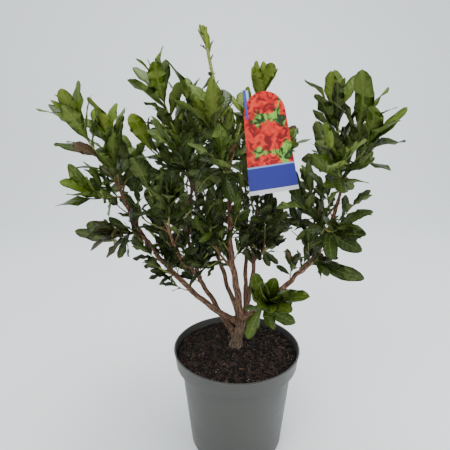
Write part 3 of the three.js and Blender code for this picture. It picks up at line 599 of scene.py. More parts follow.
# Shoots: the year's green and tan stems that carry the leaves, branched by the rule that shapes the solids.
# Each mass has one stem, side shoots fork from it at a share of its way, and all turn up towards their tips.
MASSES = {
    "left_crown": {
        "bough": "left_bough", "share": 1, "leaf": 70, "seed": 14,
        "shoots": {
            "outer": {"tip": [-226, -40, 548]},
            "upper": {"fork": 0.12, "tip": [-190, -15, 528]},
            "back": {"fork": 0.15, "tip": [-196, 70, 486]},
            "low": {"fork": 0.08, "tip": [-196, -64, 450]},
            "inner": {"fork": 0.1, "tip": [-170, 16, 482]},
        },
    },
    "left_low": {
        "bough": "left_bough", "share": 0.8, "leaf": 54, "seed": 113,
        "shoots": {"forward": {"tip": [-182, -58, 404]}, "brown": {"fork": 0.3, "tip": [-196, -16, 372]}},
    },
    "left_spur": {
        "bough": "left_bough", "share": 0.5, "leaf": 46, "seed": 13,
        "shoots": {
            "spur": {"tip": [-125, -34, 336], "whorl": 4},
            "inner": {"fork": 0.3, "tip": [-118, -2, 366]},
        },
    },
    "middle_left_crown": {
        "bough": "left_inner_bough", "share": 1, "leaf": 72, "seed": 22,
        "shoots": {
            "top": {"tip": [-118, 12, 600]},
            "crown": {"fork": 0.3, "tip": [-76, 35, 576]},
            "left": {"fork": 0.2, "tip": [-134, -12, 515]},
            "front": {"fork": 0.12, "tip": [-86, -46, 515]},
            "back": {"fork": 0.3, "tip": [-84, 95, 538]},
        },
    },
    "front_left_mass": {
        "bough": "front_left_bough", "share": 1, "leaf": 70, "seed": 25,
        "shoots": {
            "outer": {"tip": [-128, -64, 462]},
            "front": {"fork": 0.1, "tip": [-92, -108, 446]},
            "inner": {"fork": 0.12, "tip": [-70, -66, 428]},
            "side": {"fork": 0.1, "tip": [-142, -36, 412]},
        },
    },
    "left_inner_low": {
        "bough": "left_inner_bough", "share": 0.5, "leaf": 48, "seed": 23,
        "shoots": {
            "left": {"tip": [-106, 50, 322]},
            "back": {"fork": 0.3, "tip": [-58, 84, 354]},
            "front": {"fork": 0.1, "tip": [-50, 8, 340]},
        },
    },
    "leader_mass": {
        "bough": "middle_bough", "share": 1, "leaf": 64, "seed": 132,
        "shoots": {
            "leader": {"tip": [-48, -20, 668], "leafy": 0.52, "budLeaf": 13, "girth": 2},
            "left": {"fork": 0.16, "tip": [-40, -58, 546]},
            "right": {"fork": 0.12, "tip": [2, -24, 545]},
            "front": {"fork": 0.08, "tip": [-24, -112, 498]},
            "back": {"fork": 0.2, "tip": [-24, 52, 528]},
        },
    },
    "central_low": {
        "bough": "middle_bough", "share": 0.42, "leaf": 48, "seed": 32,
        "shoots": {
            "left": {"tip": [-54, -6, 380]},
            "upper": {"fork": 0.5, "tip": [-42, 12, 420]},
            "low": {"fork": 0.3, "tip": [-50, -28, 334]},
            "front": {"fork": 0.4, "tip": [-46, -68, 420]},
        },
    },
    "right_inner_crown": {
        "bough": "right_inner_bough", "share": 1, "leaf": 58, "seed": 41,
        "shoots": {
            "top": {"tip": [34, 4, 600]},
            "left": {"fork": 0.4, "tip": [16, 52, 562]},
            "right": {"fork": 0.25, "tip": [66, 52, 508]},
            "back": {"fork": 0.25, "tip": [50, 112, 486]},
        },
    },
    "right_inner_low": {
        "bough": "right_inner_bough", "share": 0.52, "leaf": 52, "seed": 42,
        "shoots": {
            "right": {"tip": [60, 10, 366]},
            "front": {"fork": 0.4, "tip": [40, -30, 416]},
            "back": {"fork": 0.3, "tip": [60, 62, 340]},
            "left": {"fork": 0.15, "tip": [18, -6, 378]},
        },
    },
    "low_whorl": {
        "bough": "right_bough", "share": 0.14, "leaf": 70, "seed": 43,
        "shoots": {"whorl": {"tip": [43, -78, 294], "whorl": 10, "leafy": 0.6}},
    },
    "right_crown": {
        "bough": "right_bough", "share": 1, "leaf": 72, "seed": 51,
        "shoots": {
            "outer": {"tip": [166, -50, 552], "girth": 1.5},
            "inner": {"fork": 0.1, "tip": [139, -24, 569]},
            "side": {"fork": 0.3, "tip": [170, -80, 524]},
            "back": {"fork": 0.18, "tip": [154, 60, 500]},
            "front": {"fork": 0.1, "tip": [124, -104, 496]},
        },
    },
    "right_mid": {
        "bough": "right_bough", "share": 0.82, "leaf": 64, "seed": 52,
        "shoots": {
            "inner": {"tip": [98, -56, 434]},
            "upper": {"fork": 0.25, "tip": [112, 14, 456]},
            "low": {"fork": 0.3, "tip": [100, 12, 392]},
            "front": {"fork": 0.25, "tip": [126, -98, 410]},
        },
    },
    "right_low": {
        "bough": "right_bough", "share": 0.68, "leaf": 60, "seed": 53,
        "shoots": {"spur": {"tip": [123, -48, 347], "whorl": 5}},
    },
    "back_left_mass": {
        "bough": "back_left_bough", "share": 1, "leaf": 68, "seed": 61,
        "shoots": {
            "top": {"tip": [-62, 200, 558]},
            "left": {"fork": 0.15, "tip": [-132, 186, 520]},
            "low": {"fork": 0.1, "tip": [-154, 128, 462]},
            "back": {"fork": 0.12, "tip": [-50, 236, 470]},
        },
    },
    "back_left_low": {
        "bough": "back_left_bough", "share": 0.55, "leaf": 56, "seed": 62,
        "shoots": {"left": {"tip": [-92, 122, 352]}, "back": {"fork": 0.3, "tip": [-40, 172, 366]}},
    },
    "back_mass": {
        "bough": "back_bough", "share": 1, "leaf": 68, "seed": 166,
        "shoots": {
            "top": {"tip": [30, 186, 562]},
            "right": {"fork": 0.2, "tip": [84, 172, 500]},
            "back": {"fork": 0.1, "tip": [34, 240, 466]},
            "inner": {"fork": 0.25, "tip": [-6, 130, 530]},
        },
    },
    "back_low": {
        "bough": "back_bough", "share": 0.55, "leaf": 56, "seed": 64,
        "shoots": {"right": {"tip": [70, 128, 348]}},
    },
}
SHOOT = {"stem": 2.4, "side": 1.9, "tip": 1.1, "rise": 0.32, "leave": 0.3, "up": 0.9, "rows": 18,
         "columns": 8}
GAP = 0.3
SEEDS = {"each_mass": 100, "fill": 50}
# Sprigs are short side twigs. The open masses, where the sky shows through, have none, and the boughs have
# longer ones of their own.
SPRIG = {"step": 30, "first": 0.2, "last": 0.8, "share_jitter": 0.5, "lengths": (40, 24),
         "spread": (0.8, 1.15), "lean": 40, "up": 0.45, "radii": (1.1, 0.7), "rows": 7, "columns": 6,
         "leaves": 6, "size": 0.78, "first_leaf": 0.35, "sizes": (0.8, 1.0), "leans": (56, 18)}
BOUGH_SPRIGS = {**SPRIG, "leaf": 48, "seed": 900, "step": 17, "first": 0.38, "last": 0.97,
                "lengths": (24, 56)}
OPEN_MASSES = ("left_crown", "middle_left_crown", "front_left_mass", "leader_mass", "right_inner_low",
               "right_crown")
STEM_TONES = {
    "old": {0.35: "#4a2f20", 0.65: "#80593c"},
    "young": {0.35: "#6f7a34", 0.65: "#93994f"},
}
STEM_SPOT_MM = 3


def seeded(seed):
    """The same seed always gives the same run of numbers between 0 and 1, and the same as for the solids."""
    state = (seed * 2654435761) & 0xFFFFFFFF

    def draw():
        nonlocal state
        state = (state * 1664525 + 1013904223) & 0xFFFFFFFF
        return state / 4294967296
    return draw


def mix(low, high, share):
    """The number at a share of the way from low to high."""
    return low + (high - low) * share


def shoot_route(start, heading, tip):
    """A shoot leaves along its heading and turns up towards its tip."""
    reach = np.linalg.norm(tip - start)
    rising = unit(tip - start)
    rising[2] = SHOOT["up"]
    leaving = start + heading * reach * SHOOT["leave"]
    return np.array([start, leaving, tip - unit(rising) * reach * SHOOT["rise"], tip])


def shoots_of(mass):
    """The stem and side shoots of a mass: (route, end radii, settings) each."""
    grown = BOUGHS[mass["bough"]]
    along = frame_at(grown["route"], mass["share"])[0]
    made = []
    for settings in mass["shoots"].values():
        tip = np.array(settings["tip"], float)
        girth = settings.get("girth", 1)
        if made:
            stem = made[0][0]
            start = bezier(stem, settings["fork"])
            heading = unit(frame_at(stem, settings["fork"])[0] + unit(tip - start))
            radius = SHOOT["side"]
        else:
            start = bezier(grown["route"], mass["share"])
            radius = min(SHOOT["stem"] * girth, mix(*grown["radii"], mass["share"]))
            heading = along if mass["share"] == 1 else unit(tip - start)
            start = start + (along * GAP if mass["share"] == 1 else 0)
        made.append((shoot_route(start, heading, tip), (radius, SHOOT["tip"] * girth), settings))
    return made


mass_shoots = {name: shoots_of(mass) for name, mass in MASSES.items()}

# Room: a leaf keeps to its own mass's space, off the limbs, and out of the label's way, as in the solids.
# The label is a card that leans to the left before the crown, and its strap holds on to one shoot.
MEASURE_STEP = 6
LIMB_CLEAR = 1.6
SPACE_CLEAR = 1.6
LABEL = {"width": 72, "head_width": 58, "head_share": 0.55, "height": 140, "foot": (51, -47, 453),
         "lean": math.radians(8.7), "room": 7, "front_room": 90}
STRAP = {"width": 8, "share": 0.8, "left": 24, "clear": 0.5, "room_high": 2, "room_wide": 4, "room_leaf": 1.5}


def places_along(route, step=MEASURE_STEP):
    """Places on a curve, close enough together to measure distances by, with their shares."""
    count = math.ceil(np.linalg.norm(route[3] - route[0]) / step) + 1
    shares = np.linspace(0, 1, count + 1)
    return bezier(route, shares), shares


mass_places = {name: np.concatenate([places_along(route)[0] for route, _, _ in shoots])
               for name, shoots in mass_shoots.items()}
mass_owner = np.concatenate([np.full(len(places), i) for i, places in enumerate(mass_places.values())])
all_places = np.concatenate(list(mass_places.values()))
limb_places, limb_radii = [], []
for name, grown in LIMBS.items():
    places, shares = places_along(np.array(grown["route"], float))
    radius = mix(*grown["radii"], shares)
    if name == "trunk":
        radius = radius + TRUNK["flare"] * np.exp(-shares / TRUNK["flare_share"])
    limb_places.append(places)
    limb_radii.append(radius)
limb_places, limb_radii = np.concatenate(limb_places), np.concatenate(limb_radii)
label_foot = np.array(LABEL["foot"], float)
label_up = np.array([-math.sin(LABEL["lean"]), 0, math.cos(LABEL["lean"])])
label_right = np.array([label_up[2], 0, -label_up[0]])
hold_route, hold_radii, _ = mass_shoots["right_inner_crown"][0]
hold_place = bezier(hold_route, STRAP["share"])


def near_label(places):
    """True for places on the label's card, before it, or on its strap's way to the shoot."""
    offset = places - label_foot
    sideways = np.abs(offset @ label_right) < LABEL["width"] / 2 + LABEL["room"]
    upright = (offset @ label_up > -LABEL["room"]) & (offset @ label_up < LABEL["height"] + LABEL["room"])
    before = (offset[:, 1] > -LABEL["front_room"]) & (offset[:, 1] < LABEL["room"])
    level = np.abs(places[:, 2] - hold_place[2]) < STRAP["room_high"] * STRAP["width"]
    between = (offset[:, 1] > 0) & (places[:, 1] < hold_place[1] + STRAP["room_high"] * STRAP["width"])
    beside = np.abs(places[:, 0] - hold_place[0]) < STRAP["room_wide"] * STRAP["width"]
    return (sideways & upright & before) | (level & between & beside)


# Places on a leaf that are tested: the share of its length, and of its half width to either side.
TEST_PLACES = np.array([
    [0.3, 0], [0.45, 0.8], [0.45, -0.8], [0.6, 0], [0.6, 1], [0.6, -1], [0.8, 0.6], [0.8, -0.6], [1, 0]])


def fits(leaf, owner):
    """True if a leaf stays in its mass's own space, clear of limbs and of the label."""
    length, across = TEST_PLACES.T[:, :, None]
    places = leaf["root"] + leaf["ahead"] * length * leaf["length"]
    places = places + leaf["side"] * across * leaf["width"] / 2
    places = places - leaf["face"] * leaf["curl"] * leaf["length"] * length ** 2
    gaps = np.linalg.norm(places[:, None] - all_places, axis=2)
    own = gaps[:, mass_owner == owner].min(1, initial=math.inf)
    others = gaps[:, mass_owner != owner].min(1)
    off_limbs = np.linalg.norm(places[:, None] - limb_places, axis=2) > limb_radii + LIMB_CLEAR
    own_space = owner is None or (others > own + SPACE_CLEAR).all()
    clear = own_space and off_limbs.all() and not near_label(places).any()
    above = (places[:, 2] > SOIL["top"] + LIMB_CLEAR).all()
    off_strap = np.linalg.norm(leaf["root"] - hold_place) > STRAP["room_leaf"] * STRAP["width"]
    return clear and above and off_strap


# Leaf rule: leaves stand round each shoot at the golden angle, with a whorl round its bud, and face the sky.
# The solids' own leaves come first, and then the finer ones between them and on the short sprigs that the
# solids leave out. Lengths are in mm, and angles in degrees.
LEAVES = {"spacing": 13, "leafy": 0.34, "whorl": 5, "whorl_share": 0.16, "low_end": 0.94,
          "share_jitter": 0.4, "turn_jitter": 30, "low_lean": 46, "whorl_lean": 25, "top_lean": 8,
          "lean_jitter": 12, "low_sizes": (0.62, 0.95), "whorl_sizes": (1.08, 0.62), "lengths": (0.85, 1.12),
          "widths": (0.85, 1.15), "curls": (0.02, 0.24), "width": 0.35, "skyward": 0.3}
BUDS = {"leafy": 0.2, "whorl": 6, "lean": 34, "tip_size": 2.1, "width": 1.5}
CLOSER = {"lean": 0.55, "size": 0.8}
FILL = {"spacing": 12, "first": 0.1, "last": 0.86, "size": (0.66, 0.92), "lean": (54, 32), "lean_jitter": 16,
        "turn_jitter": 0.5, "lengths": (0.8, 1.12), "widths": (0.85, 1.2), "curls": (0.02, 0.3)}


def leaf_at(route, share, turn, lean, length, width, curl):
    """One leaf: its root on the shoot, which way it points and faces, and its size."""
    along, across, over = frame_at(route, share)
    outward = across * math.cos(turn) + over * math.sin(turn)
    ahead = along * math.cos(lean) + outward * math.sin(lean)
    face = along + [0, 0, LEAVES["skyward"]]
    face = unit(face - ahead * (face @ ahead))
    return {"root": bezier(route, share), "ahead": ahead, "face": face, "side": np.cross(face, ahead),
            "length": length, "width": width, "curl": curl}


def placed(route, share, turn, lean, length, width, curl, owner):
    """The leaf, or a smaller one closer to the shoot, if either fits."""
    leaf = leaf_at(route, share, turn, lean, length, width, curl)
    if fits(leaf, owner):
        return leaf
    size = CLOSER["size"]
    leaf = leaf_at(route, share, turn, lean * CLOSER["lean"], length * size, width * size, curl)
    return leaf if fits(leaf, owner) else None


def shoot_leaves(route, settings, size, owner, draw):
    """The rule's leaves on one shoot, from its lowest to the whorl round its bud."""
    leafy, bud_leaf = settings.get("leafy", LEAVES["leafy"]), settings.get("budLeaf")
    first = BUDS["leafy"] if bud_leaf else leafy
    whorl = BUDS["whorl"] if bud_leaf else settings.get("whorl", LEAVES["whorl"])
    below = math.floor(np.linalg.norm(route[3] - route[0]) * (1 - first) / LEAVES["spacing"] + 0.5)
    first_turn = draw() * 360
    grown = []
    for i in range(below + whorl):
        by_turn, by_lean, by_length, by_curl, by_width = (draw() for _ in range(5))
        rank = (i - below + 1) / whorl
        share = 1 - LEAVES["whorl_share"] * (1 - rank)
        level = mix(LEAVES["whorl_lean"], LEAVES["top_lean"], rank)
        scale = mix(*LEAVES["whorl_sizes"], rank * rank)
        if i < below:
            share = mix(first, LEAVES["low_end"], (i + LEAVES["share_jitter"] * by_turn) / below)
            level = mix(LEAVES["low_lean"], LEAVES["whorl_lean"], share)
            scale = mix(*LEAVES["low_sizes"], share)
        bud = bud_leaf and share > leafy
        turn = math.radians(first_turn + LEAVES["turn_jitter"] * (by_turn - 0.5)) + i * GOLDEN_ANGLE
        lean = math.radians(level + LEAVES["lean_jitter"] * (by_lean - 0.5))
        bud_size, girth = bud_leaf, 1
        if bud and i < below:
            lean = math.radians(BUDS["lean"])
            girth = BUDS["width"]
        elif bud:
            bud_size = bud_leaf * BUDS["tip_size"]
        length = (bud_size if bud else size) * scale * mix(*LEAVES["lengths"], by_length)
        width = length * LEAVES["width"] * girth * mix(*LEAVES["widths"], by_width)
        leaf = placed(route, share, turn, lean, length, width, mix(*LEAVES["curls"], by_curl), owner)
        if leaf:
            grown.append({**leaf, "rank": max(rank, 0)})
    return grown


def filling_leaves(route, size, owner, draw, count, first, last, sizes, leans):
    """Finer leaves along a shoot, between the rule's own."""
    grown = []
    first_turn = draw() * 2 * math.pi
    for i in range(count):
        by_turn, by_lean, by_length, by_curl, by_width = (draw() for _ in range(5))
        share = mix(first, last, (i + by_turn) / count)
        length = size * mix(*sizes, share) * mix(*FILL["lengths"], by_length)
        lean = math.radians(mix(*leans, share) + FILL["lean_jitter"] * (by_lean - 0.5))
        width = length * LEAVES["width"] * mix(*FILL["widths"], by_width)
        turn = first_turn + i * GOLDEN_ANGLE + FILL["turn_jitter"] * (by_turn - 0.5)
        leaf = placed(route, share, turn, lean, length, width, mix(*FILL["curls"], by_curl), owner)
        if leaf:
            grown.append({**leaf, "rank": 0})
    return grown


def sprigs_of(route, size, owner, draw, rule):
    """Short side twigs up a shoot, each with leaves of its own: (route, leaves) for each that has room."""
    grown = []
    reach = np.linalg.norm(route[3] - route[0])
    count = int(reach * (rule["last"] - rule["first"]) / rule["step"])
    first_turn = draw() * 2 * math.pi
    for i in range(count):
        share = mix(rule["first"], rule["last"], (i + rule["share_jitter"] * draw()) / count)
        along, across, over = frame_at(route, share)
        turn = first_turn + i * GOLDEN_ANGLE
        lean = math.radians(rule["lean"])
        way = along * math.cos(lean) + (across * math.cos(turn) + over * math.sin(turn)) * math.sin(lean)
        length = mix(*rule["lengths"], share) * mix(*rule["spread"], draw())
        start = bezier(route, share)
        tip = start + unit(way + [0, 0, rule["up"]]) * length
        twig = shoot_route(start, way, tip)
        leaves = filling_leaves(twig, size * rule["size"], owner, draw, rule["leaves"], rule["first_leaf"], 1,
                                rule["sizes"], rule["leans"])
        if len(leaves) > 1:
            grown.append((twig, leaves))
    return grown


def carried(routes, ends, rows, columns):
    """Thin twigs joined: rings round each route, tapering between its end radii, and the corners' ages."""
    shares = np.linspace(0, 1, rows)
    places = [limb(route, mix(*radii, shares)[:, None] + np.zeros(columns), shares, columns)
              for route, radii in zip(routes, ends)]
    age = np.concatenate([np.repeat(shares, columns), [0, 1]])
    return np.concatenate(places), np.tile(age, len(routes))


def young_stem():
    """Azalea shoots: brown and smooth where they leave the bough, green with a soft sheen to their tips."""
    material, tree, shader = finish_of("young azalea stem", roughness=0.6, ior=1.45)
    age = add(tree, "ShaderNodeAttribute", {"attribute_name": "age"}).outputs["Fac"]
    where = add(tree, "ShaderNodeTexCoord").outputs["Object"]
    spots = add(tree, "ShaderNodeTexNoise", inputs={
        "Vector": where, "Scale": 1 / (STEM_SPOT_MM * MM), "Detail": 3.0}).outputs["Fac"]
    greener = add(tree, "ShaderNodeMapRange", {"interpolation_type": "SMOOTHSTEP"}, {
        "Value": age, "From Min": 0.1, "From Max": 0.75}).outputs["Result"]
    by_age(tree, shader, spots, greener, STEM_TONES)
    return material


sprays = []
sprigs = []
for owner, (name, mass) in enumerate(MASSES.items()):
    for i, (route, _, settings) in enumerate(mass_shoots[name]):
        seed = mass["seed"] * SEEDS["each_mass"] + i
        grown = shoot_leaves(route, settings, mass["leaf"], owner, seeded(seed))
        draw = seeded(seed + SEEDS["fill"])
        last = settings["leafy"] if settings.get("budLeaf") else FILL["last"]
        count = int(np.linalg.norm(route[3] - route[0]) * (last - FILL["first"]) / FILL["spacing"])
        grown += filling_leaves(route, mass["leaf"], owner, draw, count, FILL["first"], last,
                                FILL["size"], FILL["lean"])
        sprays.append((name, grown))
        if "budLeaf" not in settings and "whorl" not in settings and name not in OPEN_MASSES:
            for twig, leaves in sprigs_of(route, mass["leaf"], owner, draw, SPRIG):
                sprigs.append(twig)
                sprays.append((name, leaves))
for i, (name, grown) in enumerate(BOUGHS.items()):
    route = np.array(grown["route"], float)
    draw = seeded(i + BOUGH_SPRIGS["seed"])
    for twig, leaves in sprigs_of(route, BOUGH_SPRIGS["leaf"], None, draw, BOUGH_SPRIGS):
        sprigs.append(twig)
        sprays.append((name, leaves))
stems = [shoot for shoots in mass_shoots.values() for shoot in shoots]
stem_finish = young_stem()
for name, routes, ends, rows, columns in (
        ("shoots", [stem[0] for stem in stems], [stem[1] for stem in stems], SHOOT["rows"], SHOOT["columns"]),
        ("sprigs", sprigs, [SPRIG["radii"]] * len(sprigs), SPRIG["rows"], SPRIG["columns"])):
    places, age = carried(routes, ends, rows, columns)
    stem_faces, _ = tube_faces(len(routes), np.linspace(0, 1, rows + 2), columns)
    make_piece(name, places * MM, stem_faces, stem_finish, replaced=MASSES, values={"age": age})

# Leaf blades: soft live tissue with a sunk midrib and wavy margins, paler and duller underneath.
# Each is one closed skin of six corners a ring, five above and the rib below, carried from root to tip.
# It folds up along its midrib, twists, and curls back to its tip.
BLADE_ROWS = np.array([0.0, 0.04, 0.14, 0.29, 0.45, 0.61, 0.77, 0.89, 0.965, 1.0])
BLADE_ACROSS = np.array([-1, -0.5, 0, 0.5, 1, 0])
BLADE_UNDER = np.array([0, 0, 0, 0, 0, 1])
BLADE_AROUND = np.array([0, 0.125, 0.25, 0.375, 0.5, 0.75, 1])
BLADE = {"thick": 0.4, "rib": 0.5, "groove": 0.3, "petiole": 0.05, "petiole_width": 0.09, "root_side": 0.95,
         "tip_side": 0.6, "widest": 0.355, "side_lag": 2, "flatten": 0.6, "margin": 1.5, "nod_from": 0.55,
         "point": 0.5}
# The range of each random number for a leaf's form: shares of its width or length, waves a leaf, radians for
# where a wave starts and how far the margins lag, and degrees of twist.
BLADE_FORM = {"ripple": (0.03, 0.13), "ripples": (2.5, 4), "fold": (-0.05, 0.5), "cup": (-0.1, 0.28),
              "wave": (0.05, 0.17), "waves": (1.6, 3.2), "lag": (0.4, 2.0), "nod": (-0.25, 0.5),
              "twist": (-40, 40), "twist_on": (-34, 34), "bend": (-0.06, 0.06), "start": (0, 2 * math.pi)}
# A tint's two colours are the upper side and the lower one.
TINTS = {
    "shade_green": ("#171f07", "#3a4322"),
    "deep_green": ("#222e09", "#454e26"),
    "leaf_green": ("#2f400c", "#515d2a"),
    "grass_green": ("#3f520e", "#5e6e2b"),
    "fresh_green": ("#52680f", "#6e7e2e"),
    "tip_green": ("#667c12", "#7f8d34"),
    "lime_green": ("#7a8c18", "#949c40"),
    "bronze_green": ("#3c3517", "#575231"),
    "autumn_brown": ("#54331b", "#65503a"),
}
GREENS = list(TINTS)[:7]
VEINS = {"pairs": 8, "slant": 0.64, "pale": 0.22, "half_width": 0.016, "quilt_mm": 0.5, "tone": "#a9b46a",
         "tone_share": 0.38}
RIB = {"pale": 0.5, "from": 0.226, "to": 0.246}
MIDRIB = 0.25
LOWER_SIDE = 0.5
BLOTCHES = {"per_leaf": 7.0, "from": 0.42, "to": 0.75, "most": 0.4, "darker": (0.45, 0.5, 0.4, 1)}


def half_width(share):
    """Half a leaf's width at a share of its length, 1 at its widest: a thin petiole, and then the blade.

    The blade's is share^0.95 (1 - share)^0.6, so that it is widest past the middle and its tip is blunt.
    """
    blade = np.clip((share - BLADE["petiole"]) / (1 - BLADE["petiole"]), 0, 1)
    wide = blade ** BLADE["root_side"] * (1 - blade) ** BLADE["tip_side"] / BLADE["widest"]
    return np.maximum(wide, BLADE["petiole_width"] * (share < 0.5))


def blades(leaves, seed):
    """All the leaves' corners in mm: for each leaf its rings, and then its root and tip.

    A leaf's width has ripples. Its height over its plane is the fold less the cup, plus sine waves along each
    margin, less the groove, the skin's thickness, the nod of its tip and its curl. Then it is twisted and
    bent.
    """
    draw = np.random.default_rng(seed)
    stack = {key: np.array([leaf[key] for leaf in leaves]) for key in leaves[0]}
    count = len(leaves)

    def some(form):
        return draw.uniform(*BLADE_FORM[form], (count, 1, 1))

    along = BLADE_ROWS[1:-1, None]
    length, width = (stack[key][:, None, None] for key in ("length", "width"))
    side = np.sign(BLADE_ACROSS)
    ripple = some("ripple") * np.sin(
        2 * math.pi * some("ripples") * along + some("start") + BLADE["side_lag"] * side)
    across = BLADE_ACROSS * half_width(along) * (1 + ripple) * width / 2
    folded = some("fold") * np.abs(across) * (1 - BLADE["flatten"] * along)
    cupped = some("cup") * np.abs(across) * np.abs(BLADE_ACROSS)
    wave = np.sin(2 * math.pi * some("waves") * along + some("start") + side * some("lag"))
    waved = (some("wave") * width * wave * np.abs(BLADE_ACROSS) ** BLADE["margin"]
             * np.sqrt(np.sin(math.pi * along)))
    sunk = -BLADE["groove"] * (BLADE_ACROSS == 0) * (BLADE_UNDER == 0) * (1 - along)
    skin = -BLADE_UNDER * (BLADE["thick"] + (BLADE_ACROSS == 0) * BLADE["rib"] * (1 - along))
    nod = some("nod") * np.clip(along - BLADE["nod_from"], 0, 1) ** 2 * length
    above = folded - cupped + waved + sunk + skin - nod - stack["curl"][:, None, None] * length * along ** 2
    twist = np.radians(some("twist") + some("twist_on") * along)
    bend = some("bend") * length * np.sin(math.pi * along) + 0 * across
    sideways = across * np.cos(twist) - above * np.sin(twist) + bend
    upright = across * np.sin(twist) + above * np.cos(twist)
    ways = [stack[key][:, None, None] for key in ("ahead", "side", "face")]
    rings = (stack["root"][:, None, None] + ways[0] * (along * length + 0 * across)[..., None]
             + ways[1] * sideways[..., None] + ways[2] * upright[..., None])
    before, last = rings[:, -2].mean(1), rings[:, -1].mean(1)
    poles = np.stack([stack["root"], last + (last - before) * BLADE["point"]], 1)
    return np.concatenate([rings.reshape(count, -1, 3), poles], 1).reshape(-1, 3)


def leaf_skin(name, upper, under):
    """A live azalea leaf: faintly quilted above, with a pale midrib and slanting side veins, and dull below.

    It reads the leaf's own map: 0 to 0.5 is the upper side from margin to margin, 0.5 to 1 the lower one.
    """
    material, tree, shader = finish_of(name.replace("_", " ") + " leaf", roughness=0.5, ior=1.42)
    shader.inputs["Specular IOR Level"].default_value = 0.34
    where = add(tree, "ShaderNodeUVMap", {"uv_map": "leaf"}).outputs["UV"]
    split = add(tree, "ShaderNodeSeparateXYZ", inputs={"Vector": where})
    rib_near = add(tree, "ShaderNodeMath", {"operation": "PINGPONG"}, {
        0: split.outputs["X"], 1: MIDRIB}).outputs[0]
    below = add(tree, "ShaderNodeMath", {"operation": "GREATER_THAN"}, {
        0: split.outputs["X"], 1: LOWER_SIDE}).outputs[0]
    slant = add(tree, "ShaderNodeMath", {"operation": "MULTIPLY_ADD"}, {
        0: rib_near, 1: VEINS["slant"], 2: split.outputs["Y"]}).outputs[0]
    field = add(tree, "ShaderNodeMath", {"operation": "PINGPONG"}, {
        0: slant, 1: 0.5 / VEINS["pairs"]}).outputs[0]
    vein = add(tree, "ShaderNodeMapRange", {"interpolation_type": "SMOOTHSTEP"}, {
        "Value": field, "From Max": VEINS["half_width"], "To Min": VEINS["pale"], "To Max": 0.0})
    rib = add(tree, "ShaderNodeMapRange", {"interpolation_type": "SMOOTHSTEP"}, {
        "Value": rib_near, "From Min": RIB["from"], "From Max": RIB["to"], "To Max": RIB["pale"]})
    spots = add(tree, "ShaderNodeTexNoise", {"noise_dimensions": "2D"}, {
        "Vector": where, "Scale": BLOTCHES["per_leaf"], "Detail": 5.0, "Roughness": 0.6})
    blotch = add(tree, "ShaderNodeMapRange", inputs={
        "Value": spots.outputs["Fac"], "From Min": BLOTCHES["from"], "From Max": BLOTCHES["to"],
        "To Max": BLOTCHES["most"]})
    dark = np.array(tone(upper)) * BLOTCHES["darker"]
    pale = mix(np.array(tone(upper)), np.array(tone(VEINS["tone"])), VEINS["tone_share"])
    shown = tone(upper)
    for share, laid_on in (
            (below, tone(under)),
            (blotch.outputs["Result"], dark.tolist()),
            (vein.outputs["Result"], pale.tolist()),
            (rib.outputs["Result"], pale.tolist())):
        shown = add(tree, "ShaderNodeMix", {"data_type": "RGBA"}, {
            FACTOR: share, FIRST: shown, SECOND: laid_on}).outputs[BLENDED]
    tree.links.new(shown, shader.inputs["Base Color"])
    gloss = add(tree, "ShaderNodeMapRange", inputs={"Value": below, "To Min": 0.42, "To Max": 0.72})
    tree.links.new(gloss.outputs["Result"], shader.inputs["Roughness"])
    quilt = add(tree, "ShaderNodeMapRange", {"interpolation_type": "SMOOTHSTEP"}, {
        "Value": field, "From Max": 0.5 / VEINS["pairs"]})
    bump = add(tree, "ShaderNodeBump", inputs={
        "Height": quilt.outputs["Result"], "Strength": 0.6, "Distance": VEINS["quilt_mm"] * MM})
    tree.links.new(bump.outputs["Normal"], shader.inputs["Normal"])
    return material


# The tints are dealt out by spray, in steps of GREENS from the darkest, with a random part. They step up
# with height: painted light, for the top of the crown being more lit than its foot. The young leaves of a
# whorl are brighter too, their own fresh green. Each mass in the table after DEALT is that many steps
# brighter or darker: painted light and shade, for how much light falls on it. In TURNING is the share of a
# mass's sprays that are bronze, and a few leaves are dead and brown.
DEALT = {"seed": 7, "least": 1.0, "most": 2.4, "from": 330, "over": 250, "spray": 0.3, "leaf": 0.45,
         "young": 1.8, "young_from": 390, "young_over": 130, "brown": 0.012}
# Painted light and shade: steps brighter or darker for each of these masses, for how much light falls on it.
PAINTED_LIGHT_STEPS = {"low_whorl": 1.2, "right_low": 0.7, "left_crown": 0.4, "left_spur": -0.8,
           "middle_left_crown": -0.4, "leader_mass": -0.5, "right_crown": -0.8}
TURNING = {"left_low": 0.3, "left_inner_low": 0.12, "central_low": 0.1, "back_left_low": 0.3}
dealt = {name: [] for name in TINTS}
deal = np.random.default_rng(DEALT["seed"])


def rise(height, start, over):
    """How far a height is on its way up from `start`, from 0 to 1."""
    return np.clip((height - start) / over, 0, 1)


for mass_name, spray in sprays:
    if not spray:
        continue
    height = np.mean([leaf["root"][2] for leaf in spray])
    # Painted light: the tint steps up with the spray's height, and by the mass's own steps for how lit it is.
    lit = DEALT["least"] + PAINTED_LIGHT_STEPS.get(mass_name, 0)
    lit = lit + DEALT["most"] * rise(height, DEALT["from"], DEALT["over"]) + deal.normal(0, DEALT["spray"])
    youngest = DEALT["young"] * rise(height, DEALT["young_from"], DEALT["young_over"])
    bronzed = deal.uniform() < TURNING.get(mass_name, 0)
    for leaf in spray:
        young = youngest * (leaf["rank"] > 0)
        step = round(lit + young + deal.normal(0, DEALT["leaf"]))
        name = GREENS[int(np.clip(step, 0, len(GREENS) - 1))]
        if bronzed:
            name = "bronze_green"
        elif deal.uniform() < DEALT["brown"]:
            name = "autumn_brown"
        dealt[name].append(leaf)
for seed, (name, leaves) in enumerate(dealt.items()):
    if not leaves:
        continue
    blade_faces, blade_shares = tube_faces(len(leaves), BLADE_ROWS, len(BLADE_ACROSS), BLADE_AROUND)
    make_piece(name + "_leaves", blades(leaves, seed) * MM, blade_faces, leaf_skin(name, *TINTS[name]),
               replaced=MASSES, maps={"leaf": blade_shares, "OFBake": blade_shares})

